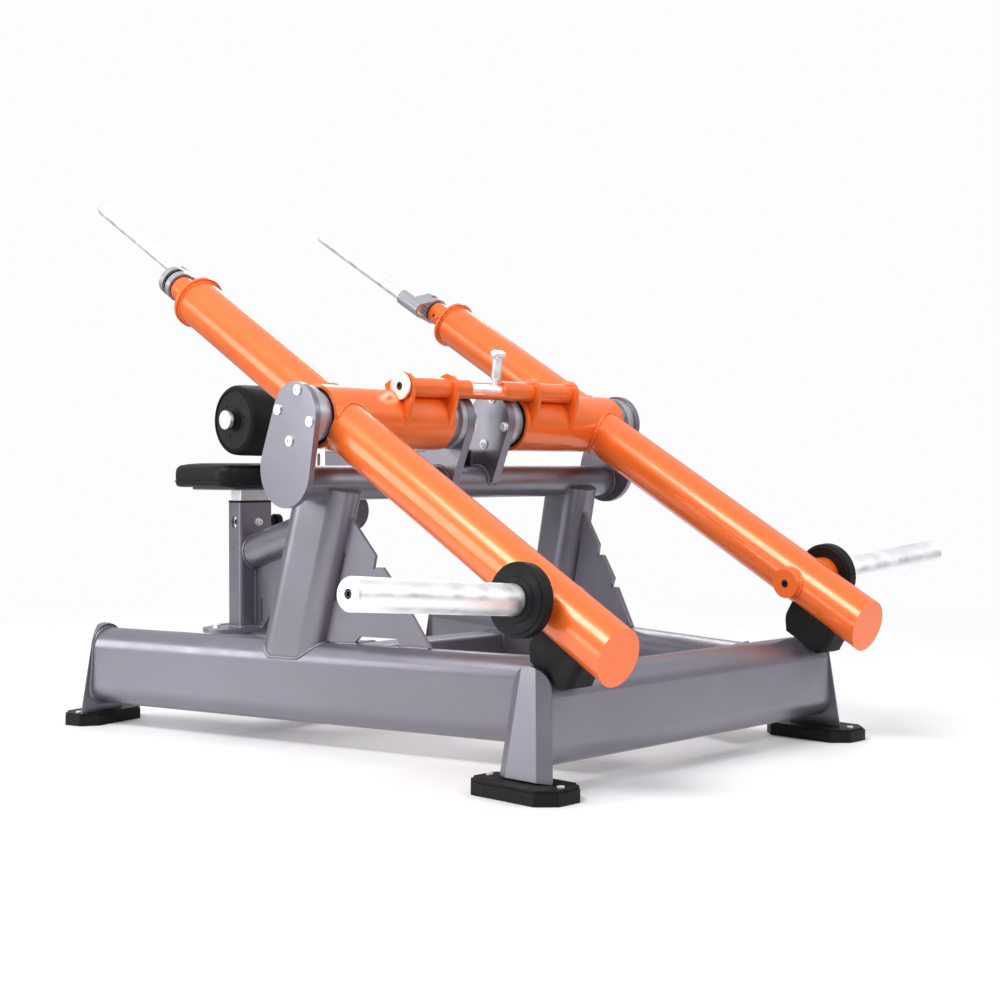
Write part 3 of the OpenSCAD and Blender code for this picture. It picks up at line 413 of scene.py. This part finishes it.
def surface(*names):
    """A search tree over the meshes of some CAD nodes."""
    verts, faces = [], []
    for name in names:
        mesh = nodes[name].data
        start = len(verts)
        verts += [v.co.copy() for v in mesh.vertices]
        faces += [[start + i for i in face.vertices] for face in mesh.polygons]
    return BVHTree.FromPolygons(verts, faces)


def oval_ring(center, across, along, width, height, n=160):
    """Points round an oval of two half circles, width across and height along."""
    r = min(width, height) / 2
    reach = Vector((width / 2 - r, height / 2 - r))
    points = []
    for i in range(n):
        a = 2 * pi * (i + 0.5) / n
        x = r * cos(a) + (reach.x if cos(a) > 0 else -reach.x)
        y = r * sin(a) + (reach.y if sin(a) > 0 else -reach.y)
        points.append(center + across * x + along * y)
    return points


def box_ring(center, across, along, width, height, r, n=12):
    """Points round a rectangle with round corners."""
    points = []
    for k, (sx, sy) in enumerate(((1, 1), (-1, 1), (-1, -1), (1, -1))):
        for i in range(n + 1):
            a = pi / 2 * (k + i / n)
            x = sx * (width / 2 - r) + r * cos(a)
            y = sy * (height / 2 - r) + r * sin(a)
            points.append(center + across * x + along * y)
    return points


def round_ring(center, u, v, r, n, first=0.0, last=None):
    """Points round a circle, or along an arc of it with both ends when a last angle is given."""
    turn = 2 * pi if last is None else last - first
    count = n if last is None else n + 1
    return [center + (u * cos(a) + v * sin(a)) * r for a in (first + turn * i / n for i in range(count))]


def straight(start, run, n):
    """Points along a straight run, both ends included."""
    return [start + run * (i / n) for i in range(n + 1)]


def resampled(points, closed, step):
    """The same path with its points a fixed step apart."""
    path = points + [points[0]] if closed else points
    lengths = [0.0]
    for a, b in zip(path, path[1:]):
        lengths.append(lengths[-1] + (b - a).length)
    count = max(4, int(lengths[-1] / step))
    out, k = [], 0
    for i in range(count + (0 if closed else 1)):
        s = lengths[-1] * i / count
        while lengths[k + 1] < s - 1e-9:
            k += 1
        span = max(lengths[k + 1] - lengths[k], 1e-9)
        out.append(path[k].lerp(path[k + 1], (s - lengths[k]) / span))
    return out


def bead_mesh(points, closed, r, verts, faces):
    """Adds a rippled bead along a path to a list of points and faces."""
    path = resampled(points, closed, WELD_STEP)
    n, sides, start = len(path), 8, len(verts)
    side = None
    for i, p in enumerate(path):
        before = path[i - 1] if (closed or i) else p
        after = path[(i + 1) % n] if (closed or i < n - 1) else p
        tangent = (after - before).normalized()
        if side is None:
            side = tangent.orthogonal().normalized()
        side = (side - tangent * side.dot(tangent)).normalized()
        other = tangent.cross(side)
        ripple = 1 + 0.14 * sin(2 * pi * i * WELD_STEP / WELD_PITCH) + 0.10 * noise.noise(p * 90)
        if not closed:
            ripple *= min(1, 0.35 + 0.2 * min(i, n - 1 - i))
        for k in range(sides):
            a = 2 * pi * k / sides
            verts.append(p + (side * cos(a) + other * sin(a)) * r * ripple)
    rings = n if closed else n - 1
    for i in range(rings):
        a, b = start + i * sides, start + (i + 1) % n * sides
        faces += [(a + k, a + (k + 1) % sides, b + (k + 1) % sides, b + k) for k in range(sides)]
    if not closed:
        faces.append(tuple(start + k for k in reversed(range(sides))))
        faces.append(tuple(start + (n - 1) * sides + k for k in range(sides)))


def on_tube(p, direction, center, axis, r):
    """Where a line from inside a round tube leaves it."""
    d = direction - axis * direction.dot(axis)
    q = (p - center) - axis * (p - center).dot(axis)
    a, b, c = d.dot(d), 2 * d.dot(q), q.dot(q) - r * r
    return p + direction * ((-b + sqrt(b * b - 4 * a * c)) / (2 * a))


class Welds:
    """Beads of one colour on one body, gathered in one piece."""

    def __init__(self, name, body, slot):
        self.name, self.body, self.slot = name, body, slot
        self.verts, self.faces = [], []

    def along(self, points, closed=False, r=None):
        bead_mesh(points, closed, r or WELD_R, self.verts, self.faces)

    def where(self, outline, direction, targets, r=None, reach=0.3):
        """Beads where an outline, swept in a direction, lands on other nodes."""
        tree = surface(*targets)
        hits = [tree.ray_cast(p, direction, reach)[0] for p in outline]
        if all(hits):
            return self.along(hits, True, r)
        first = next((i for i, h in enumerate(hits) if h is None), 0)
        run = []
        for i in range(len(hits) + 1):
            hit = hits[(first + i) % len(hits)]
            if hit is not None and (not run or (hit - run[-1]).length < 0.03):
                run.append(hit)
                continue
            if len(run) > 3:
                self.along(run, False, r)
            run = [hit] if hit is not None else []

    def done(self):
        return place(new_piece(self.name, self.verts, self.faces), self.body, self.slot)


def arm_point(side, t, x=0.0, up=0.0):
    """A point on an arm: t from the pivot towards the front cap, x outboard, up square to it."""
    return Vector((side * (ARM_X + x), 0, 0)) + PIVOT - ARM_REAR * t + ARM_UP * up


for side, word in ((-1, "left"), (1, "right")):
    w = Welds(word + "_arm_welds", word + "_lever", "arm_paint")
    limit = math.acos((PIVOT_TUBE_END - 0.001 - ARM_X) / ARM_R)
    for way in (-1, 1):
        path = []
        for i in range(91):
            a = limit + (2 * pi - 2 * limit) * i / 90
            t = way * sqrt(PIVOT_TUBE_R ** 2 - (ARM_R * sin(a)) ** 2)
            path.append(arm_point(side, t, ARM_R * cos(a), ARM_R * sin(a)))
        w.along(path, r=ARM_WELD_R)
    horn = Vector((side * HORN_AXIS.x, HORN_AXIS.y, HORN_AXIS.z))
    root = arm_point(side, HORN_T)
    across = horn.cross(ARM_REAR).normalized()
    along = horn.cross(across)
    for way, radius in ((1, HORN_BOSS_R), (-1, INNER_BOSS_R)):
        path = []
        for i in range(96):
            a = 2 * pi * i / 96
            offset = across * radius * cos(a) + along * radius * sin(a)
            path.append(on_tube(root + offset, horn * way, root, ARM_REAR, ARM_R))
        w.along(path, True)
    for t, radius in ((-FLANGE_T, NECK_R), (-FLANGE_T + FLANGE_THICK, ARM_R)):
        w.along([arm_point(side, t, radius * cos(2 * pi * i / 90), radius * sin(2 * pi * i / 90))
                 for i in range(90)], True, FLANGE_WELD_R)
    w.done()

X, Y, Z = Vector((1, 0, 0)), Vector((0, 1, 0)), Vector((0, 0, 1))
w = Welds("base_welds", "base", "frame_paint")
for side, word in ((-1, "left"), (1, "right")):
    rail_dir = Vector((side * sin(RAIL_SPLAY), cos(RAIL_SPLAY), 0))
    rail_side = Vector((cos(RAIL_SPLAY), -side * sin(RAIL_SPLAY), 0))
    rail_root = Vector((side * RAIL_X, PIVOT.y, RAIL_MID_Z))
    rail_mid = rail_root + rail_dir * 0.1
    rail_oval = oval_ring(rail_mid, rail_side, Z, *RAIL_OVAL)
    w.where(rail_oval, -rail_dir, ["front_beam"], reach=0.9)
    w.where(rail_oval, rail_dir, ["foot_plates"], reach=0.9)
    lean_axis = (rail_dir * -sin(LEAN) + Z * cos(LEAN)).normalized()
    lean_side = (rail_dir * cos(LEAN) + Z * sin(LEAN)).normalized()
    foot = rail_root + rail_dir * (PIVOT.z * math.tan(LEAN) / cos(RAIL_SPLAY)) - Z * RAIL_MID_Z
    upright_oval = oval_ring(foot + lean_axis * UPRIGHT_MID, rail_side, lean_side, *UPRIGHT_OVAL)
    w.where(upright_oval, -lean_axis, [word + "_rail"])
    w.where(upright_oval, lean_axis, ["crossbar"])
    w.where(box_ring(Vector((side * RAIL_X / 2, CROSSMEMBER_Y, BOX_BEAM_Z)), Y, Z, *BOX_BEAM),
            X * side, [word + "_rail"])
    w.along(round_ring(CROSSBAR + X * side * PLATE_IN, Y, Z, CROSSBAR_R, 80), True)
    for x in CENTER_PLATE_FACES:
        w.along(round_ring(CROSSBAR + X * side * x, Y, Z, CROSSBAR_R, 60, *CENTER_PLATE_WRAP))
    rail_crest = rail_root + Z * (RAIL_TOP - RAIL_MID_Z - WELD_SINK)
    for face in (-1, 1):
        for near, far in GUSSET_RUNS:
            start = rail_crest + rail_dir * near + rail_side * face * GUSSET_HALF
            w.along(straight(start, rail_dir * (far - near), 12), r=THIN_WELD_R)
post_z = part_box("seat_base_plate")[1][2]
post_low, post_high = (Vector(c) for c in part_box("seat_post"))
post_mid = (post_low + post_high) / 2
w.along(box_ring(Vector((post_mid.x, post_mid.y, post_z)), X, Y, post_high.x - post_low.x,
                 post_high.y - post_low.y, SQUARE_CORNER), True)
strut_dir = Vector((0, cos(STRUT_RISE), -sin(STRUT_RISE)))
strut_up = Vector((0, sin(STRUT_RISE), cos(STRUT_RISE)))
strut_mid = Vector((0, post_low.y, STRUT_Z)) - strut_dir * 0.12
strut_ring = round_ring(strut_mid, X, strut_up, STRUT_R, 120)
w.where(strut_ring, strut_dir, ["seat_post"])
w.where(strut_ring, -strut_dir, ["roller_sleeve"])
half, deep, tall = POST_GUSSET
for face in (-1, 1):
    corner = Vector((face * half, post_low.y, post_z))
    w.along(straight(corner, Z * tall, 20), r=THIN_WELD_R)
    w.along(straight(corner, Y * -deep, 6), r=THIN_WELD_R)
sleeve_low, sleeve_high = (Vector(c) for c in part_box("roller_sleeve"))
bracket_low, bracket_high = (Vector(c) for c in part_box("roller_bracket"))
bracket_mid = Vector((0, bracket_high.y - 0.15, (bracket_low.z + bracket_high.z) / 2))
bracket_ring = box_ring(bracket_mid, X, Z, bracket_high.x - bracket_low.x, bracket_high.z - bracket_low.z,
                        SQUARE_CORNER)
w.where(bracket_ring, -Y, ["crossbar"], reach=0.6)
w.where(bracket_ring, Y, ["roller_sleeve"], reach=0.6)
for name in ("crossmember", "spine_beam"):
    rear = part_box(name)[1][1]
    w.along(box_ring(Vector((0, rear, BOX_BEAM_Z)), X, Z, *BOX_BEAM), True)
w.done()

# ---------------------------------------------------------------- socket screws


def socket_screw(name, face, axis, r, depth, owner):
    """A screw head with a hexagon socket, its face at a point and its body behind it."""
    flat = r * 0.52
    u = axis.orthogonal().normalized()
    v = axis.cross(u)
    n, verts, faces = 48, [], []
    for shape, z in ((r, -depth), (r, -0.0007), (r - 0.0006, 0), (None, 0), (None, -depth * 0.7)):
        for i in range(n):
            a = 2 * pi * i / n
            reach = shape if shape else flat / cos((a + pi / 6) % (pi / 3) - pi / 6)
            verts.append(face + axis * z + (u * cos(a) + v * sin(a)) * reach)
    for k in range(4):
        here, above = k * n, (k + 1) * n
        faces += [(here + i, here + (i + 1) % n, above + (i + 1) % n, above + i) for i in range(n)]
    faces.append(tuple(reversed(range(n))))
    faces.append(tuple(4 * n + i for i in range(n)))
    return place(new_piece(name, verts, faces, smooth=False), BODY_OF[owner], "black_steel")


for mount in frame["record"]["mounts"][:2]:
    word = mount["name"].split("_")[0]
    axis = Vector(mount["axis"])
    middle = Vector(mount["pos_m"])
    cap_end = max(abs(corner[0]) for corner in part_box(word + "_horn_cap"))
    tip = (cap_end - HORN_RIM_R * sqrt(1 - axis.x ** 2) - abs(middle.x)) / abs(axis.x)
    face = middle + axis * (tip - SCREW_SINK)
    socket_screw(word + "_horn_screw", face, axis, 0.0068, 0.0045, word + "_horn_cap")
pin_low, pin_high = (Vector(c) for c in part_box("lock_pin"))
pin_mid = (pin_low + pin_high) / 2
lock_end = Vector((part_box("lock_cap")[0][0] - 0.0004, pin_mid.y, pin_mid.z))
socket_screw("lock_cap_screw", lock_end, -X, 0.0080, 0.0040, "lock_cap")

# ---------------------------------------------------------------- seat cushion


def rounded_slab(name, low, high, corner, edge):
    """A slab with round corners in plan and rounded top and bottom edges."""
    center = (low + high) / 2
    size = high - low
    small = edge * 0.4
    bottom = [pi / 2 * k / 3 for k in range(4)]
    top = [pi / 2 * k / 6 for k in range(7)]
    rows = [(low.z + small * (1 - cos(a)), small * (1 - sin(a))) for a in bottom]
    rows += [(high.z - edge * (1 - sin(a)), edge * (1 - cos(a))) for a in top]
    verts, faces = [], []
    for z, inset in rows:
        verts += box_ring(Vector((center.x, center.y, z)), X, Y, size.x - 2 * inset, size.y - 2 * inset,
                          corner - inset, 10)
    n = len(verts) // len(rows)
    for j in range(len(rows) - 1):
        here, above = j * n, (j + 1) * n
        faces += [(here + i, here + (i + 1) % n, above + (i + 1) % n, above + i) for i in range(n)]
    faces.append(tuple(reversed(range(n))))
    faces.append(tuple((len(rows) - 1) * n + i for i in range(n)))
    return new_piece(name, verts, faces)


def inflate(obj, voxel, pressure, cap, held):
    """Remeshes a closed piece and swells it with air pressure, outwards and by the cap at most.

    held(point) gives 1 where it can't move.
    """
    remesh = obj.modifiers.new("remesh", "REMESH")
    remesh.mode = "VOXEL"
    remesh.voxel_size = voxel
    remesh.use_smooth_shade = True
    apply_modifiers(obj)
    start = [v.co.copy() for v in obj.data.vertices]
    group = obj.vertex_groups.new(name="held")
    for i, p in enumerate(start):
        group.add([i], held(p), "REPLACE")
    cloth = obj.modifiers.new("cloth", "CLOTH")
    s = cloth.settings
    s.quality = 6
    s.vertex_group_mass = "held"
    s.use_pressure = True
    s.uniform_pressure_force = pressure
    s.effector_weights.gravity = 0
    s.tension_stiffness = 25
    s.compression_stiffness = 25
    s.bending_stiffness = 8
    scene = bpy.context.scene
    for step in range(1, 21):
        scene.frame_set(step)
    graph = bpy.context.evaluated_depsgraph_get()
    swollen = [v.co.copy() for v in obj.evaluated_get(graph).data.vertices]
    obj.modifiers.clear()
    obj.vertex_groups.clear()
    scene.frame_set(1)
    for v, a, b in zip(obj.data.vertices, start, swollen):
        rise = max(0, (b - a).dot(v.normal))
        v.co = a + v.normal * min(rise, cap)
    smooth = obj.modifiers.new("smooth", "SMOOTH")
    smooth.factor = 0.5
    smooth.iterations = 3
    apply_modifiers(obj)


def subdivide(obj):
    sub = obj.modifiers.new("subdivide", "SUBSURF")
    sub.levels = sub.render_levels = 1
    apply_modifiers(obj)
    for face in obj.data.polygons:
        face.use_smooth = True


def press(obj, path, depth, width, picks):
    """Pushes a channel into a piece along a path, at the points that picks(point, normal) accepts."""
    tree = KDTree(len(path))
    for i, p in enumerate(path):
        tree.insert(p, i)
    tree.balance()
    for v in obj.data.vertices:
        if picks(v.co, v.normal):
            gap = tree.find(v.co)[2]
            if gap < 3 * width:
                v.co -= v.normal * depth * math.exp(-(gap / width) ** 2)


def stitches(name, path, normal_of, length, gap, r, body, slot):
    """Short threads laid along a path."""
    points = resampled(path, True, (length + gap) / 2)
    verts, faces = [], []
    for i in range(0, len(points) - 1, 2):
        a, b = points[i], points[i + 1]
        lift = normal_of(a) * r * 0.6
        t = (b - a).normalized()
        u = t.orthogonal().normalized()
        v = t.cross(u)
        start = len(verts)
        for k, (f, scale) in enumerate(((0, 0.4), (0.15, 0.95), (0.5, 1.15), (0.85, 0.95), (1, 0.4))):
            p = a + t * length * f + lift * (1.4 if k == 2 else 1)
            verts += [p + (u * cos(2 * pi * j / 6) + v * sin(2 * pi * j / 6)) * r * scale for j in range(6)]
        for k in range(4):
            faces += [(start + 6 * k + j, start + 6 * k + (j + 1) % 6,
                       start + 6 * (k + 1) + (j + 1) % 6, start + 6 * (k + 1) + j) for j in range(6)]
        faces.append(tuple(start + j for j in reversed(range(6))))
        faces.append(tuple(start + 24 + j for j in range(6)))
    return place(new_piece(name, verts, faces), body, slot)


def skin_of(obj):
    """A search tree over a piece's present shape."""
    verts = [v.co.copy() for v in obj.data.vertices]
    return BVHTree.FromPolygons(verts, [tuple(face.vertices) for face in obj.data.polygons])


seat_low, seat_high = (Vector(c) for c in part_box("seat_cushion"))
seat_mid = (seat_low + seat_high) / 2
slab = rounded_slab("seat_pad", seat_low + Vector((SEAT_IN, SEAT_IN, 0)),
                    seat_high - Vector((SEAT_IN, SEAT_IN, SEAT_LOWER)), SEAT_CORNER, SEAT_EDGE)
inflate(slab, SWELL_VOXEL, SWELL_PRESSURE, SWELL_LIMIT, lambda p: 1 if p.z < seat_high.z - SWELL_DEPTH else 0)
subdivide(slab)
for v in slab.data.vertices:
    v.co.z = max(seat_low.z, min(v.co.z, seat_high.z + SEAT_TOP_LIMIT))

skin = skin_of(slab)
seam_plan = box_ring(Vector((seat_mid.x, seat_mid.y, seat_high.z - 0.004)), X, Y, *TOP_SEAM, 24)
top_seam = [skin.ray_cast(p + Z * 0.05, -Z)[0] for p in resampled(seam_plan, True, SEAM_STEP)]
press(slab, top_seam, TOP_SEAM_DEPTH, TOP_SEAM_WIDTH, lambda p, n: n.z > 0.3)
seat_size = seat_high - seat_low
side_plan = box_ring(Vector((seat_mid.x, seat_mid.y, seat_low.z + SIDE_SEAM_Z)), X, Y, seat_size.x, seat_size.y,
                     SIDE_SEAM_CORNER, 24)
side_seam = []
for p in resampled(side_plan, True, SEAM_STEP):
    inward = Vector((seat_mid.x - p.x, seat_mid.y - p.y, 0)).normalized()
    hit = skin.ray_cast(p - inward * 0.03, inward)[0]
    side_seam.append(hit if hit else p)
press(slab, side_seam, SIDE_SEAM_DEPTH, SIDE_SEAM_WIDTH, lambda p, n: abs(n.z) < 0.8)
skin = skin_of(slab)
place(slab, "seat", "upholstery")
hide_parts("seat_cushion")


def skin_normal(p):
    return skin.find_nearest(p)[1]


for name, grow in (("seat_stitches_outer", STITCH_OFFSET), ("seat_stitches_inner", -STITCH_OFFSET)):
    row = []
    for p in top_seam:
        out = Vector((p.x - seat_mid.x, p.y - seat_mid.y, 0)).normalized()
        row.append(skin.find_nearest(p + out * grow)[0])
    stitches(name, row, skin_normal, STITCH_LENGTH, STITCH_GAP, STITCH_R, "seat", "black_plastic")
cord_verts, cord_faces = [], []
bead_mesh(side_seam, True, CORD_R, cord_verts, cord_faces)
place(new_piece("seat_piping", cord_verts, cord_faces), "seat", "upholstery")

# ---------------------------------------------------------------- foam rollers


def foam_roller(word):
    """A pad turned round the roller's axis, with rounded ends, a slight crown and a faint parting seam."""
    low, high = (Vector(c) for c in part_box(word + "_roller_foam"))
    center = (low + high) / 2
    length, radius = high.x - low.x, (high.z - low.z) / 2
    profile = [(FOAM_MOUTH - 0.001, 0.0075), (FOAM_MOUTH + 0.0006, 0.0030), (FOAM_MOUTH + 0.0024, 0.0004)]
    for k in range(9):
        a = pi / 2 * k / 8
        profile.append((radius - FOAM_CROWN - FOAM_ROUND * (1 - sin(a)), 0.0002 + FOAM_ROUND * (1 - cos(a))))
    for k in range(1, 24):
        f = k / 24
        profile.append((radius - FOAM_CROWN * (2 * f - 1) ** 4, FOAM_ROUND + (length - 2 * FOAM_ROUND) * f))
    profile += [(r, length - x) for r, x in reversed(profile[:12])]
    n, m, verts, faces = 144, len(profile), [], []
    for i in range(n):
        a = 2 * pi * i / n
        out = Y * cos(a) + Z * sin(a)
        for r, x in profile:
            p = Vector((low.x + x, center.y, center.z)) + out * r
            dent = 0.0007 * noise.noise(p * 22) if r > FOAM_MOUTH + 0.004 else 0
            seam = 0.0009 * math.exp(-((x - length / 2) / 0.0012) ** 2) if r > radius - 0.002 else 0
            verts.append(p + out * (dent - FOAM_UNDER - seam))
    for i in range(n):
        here, after = i * m, (i + 1) % n * m
        faces += [(here + k, here + (k + 1) % m, after + (k + 1) % m, after + k) for k in range(m)]
    roller = place(new_piece(word + "_roller_pad", verts, faces), word + "_roller", "foam")
    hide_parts(word + "_roller_foam")


for word in ("left", "right"):
    foam_roller(word)

# ---------------------------------------------------------------- floor, light and camera

floor = new_piece("floor", [(-9, -9, 0), (9, -9, 0), (9, 9, 0), (-9, 9, 0)], [(0, 1, 2, 3)], smooth=False)
s = Shader("floor")
s.set(Metallic=0.0, IOR=1.4)
s.color(s.mix(s.noise(1.3, 5), (0.83, 0.83, 0.835), (0.87, 0.87, 0.872)))
s.roughness(s.spread(s.noise(6, 4), 0.3, 0.7, 0.48, 0.6))
s.bumps((s.noise(400, 3), 0.05, 0.0004))
fade = s.new("ShaderNodeMixShader")
reach = s.new("ShaderNodeVectorMath", operation="LENGTH")
s.link(s.coords, reach.inputs[0])
s.link(s.spread(reach.outputs["Value"], FLOOR_FADE[0], FLOOR_FADE[1], 0, 1), fade.inputs[0])
s.link(s.bsdf.outputs[0], fade.inputs[1])
s.link(s.new("ShaderNodeBsdfTransparent").outputs[0], fade.inputs[2])
s.link(fade.outputs[0], s.tree.nodes["Material Output"].inputs["Surface"])
floor.data.materials.append(s.mat)


def studio_world():
    """Soft light that grows stronger towards the zenith, behind a plain white that only the camera sees."""
    world = bpy.data.worlds.new("studio")
    world.use_nodes = True
    tree = world.node_tree
    light = tree.nodes["Background"]
    light.inputs["Color"].default_value = (0.96, 0.97, 1.0, 1)
    direction = tree.nodes.new("ShaderNodeTexCoord")
    split = tree.nodes.new("ShaderNodeSeparateXYZ")
    ramp = tree.nodes.new("ShaderNodeMapRange")
    for key, value in (("From Min", -0.1), ("From Max", 0.8), ("To Min", 0.30), ("To Max", 0.95)):
        ramp.inputs[key].default_value = value
    backdrop = tree.nodes.new("ShaderNodeBackground")
    backdrop.inputs["Color"].default_value = (0.98, 0.98, 0.985, 1)
    ray = tree.nodes.new("ShaderNodeLightPath")
    pick = tree.nodes.new("ShaderNodeMixShader")
    for a, b in ((direction.outputs["Generated"], split.inputs[0]),
                 (split.outputs["Z"], ramp.inputs["Value"]),
                 (ramp.outputs["Result"], light.inputs["Strength"]),
                 (ray.outputs["Is Camera Ray"], pick.inputs[0]),
                 (light.outputs[0], pick.inputs[1]),
                 (backdrop.outputs[0], pick.inputs[2]),
                 (pick.outputs[0], tree.nodes["World Output"].inputs["Surface"])):
        tree.links.new(a, b)
    return world


bpy.context.scene.world = studio_world()
bpy.context.scene.view_settings.view_transform = "Standard"


def softbox(name, spot, aim_z, size, power):
    """A rectangular area light aimed at the machine's middle at some height."""
    light = bpy.data.lights.new(name, "AREA")
    light.shape = "RECTANGLE"
    light.size, light.size_y = size
    light.energy = power
    obj = bpy.data.objects.new(name, light)
    obj.location = spot
    obj.rotation_euler = (Vector((0, 0, aim_z)) - Vector(spot)).to_track_quat("-Z", "Y").to_euler()
    bpy.context.scene.collection.objects.link(obj)


softbox("key", (-2.4, -0.4, 3.2), 0.4, (2.0, 1.2), 95)
softbox("front", (1.4, -4.0, 2.4), 0.4, (1.6, 1.0), 60)
softbox("side", (-3.8, 2.4, 1.3), 0.5, (2.4, 2.0), 66)
softbox("back", (2.6, 3.0, 2.8), 0.6, (2.2, 1.2), 32)

camera = bpy.data.cameras.new("camera")
camera.sensor_width = 36
camera.lens = 58.26
view = bpy.data.objects.new("camera", camera)
view.location = (-2.2049, PIVOT.y - 2.2456, 0.5064)
view.rotation_euler = (radians(88.903), 0, radians(-45.4655))
bpy.context.scene.collection.objects.link(view)
bpy.context.scene.camera = view
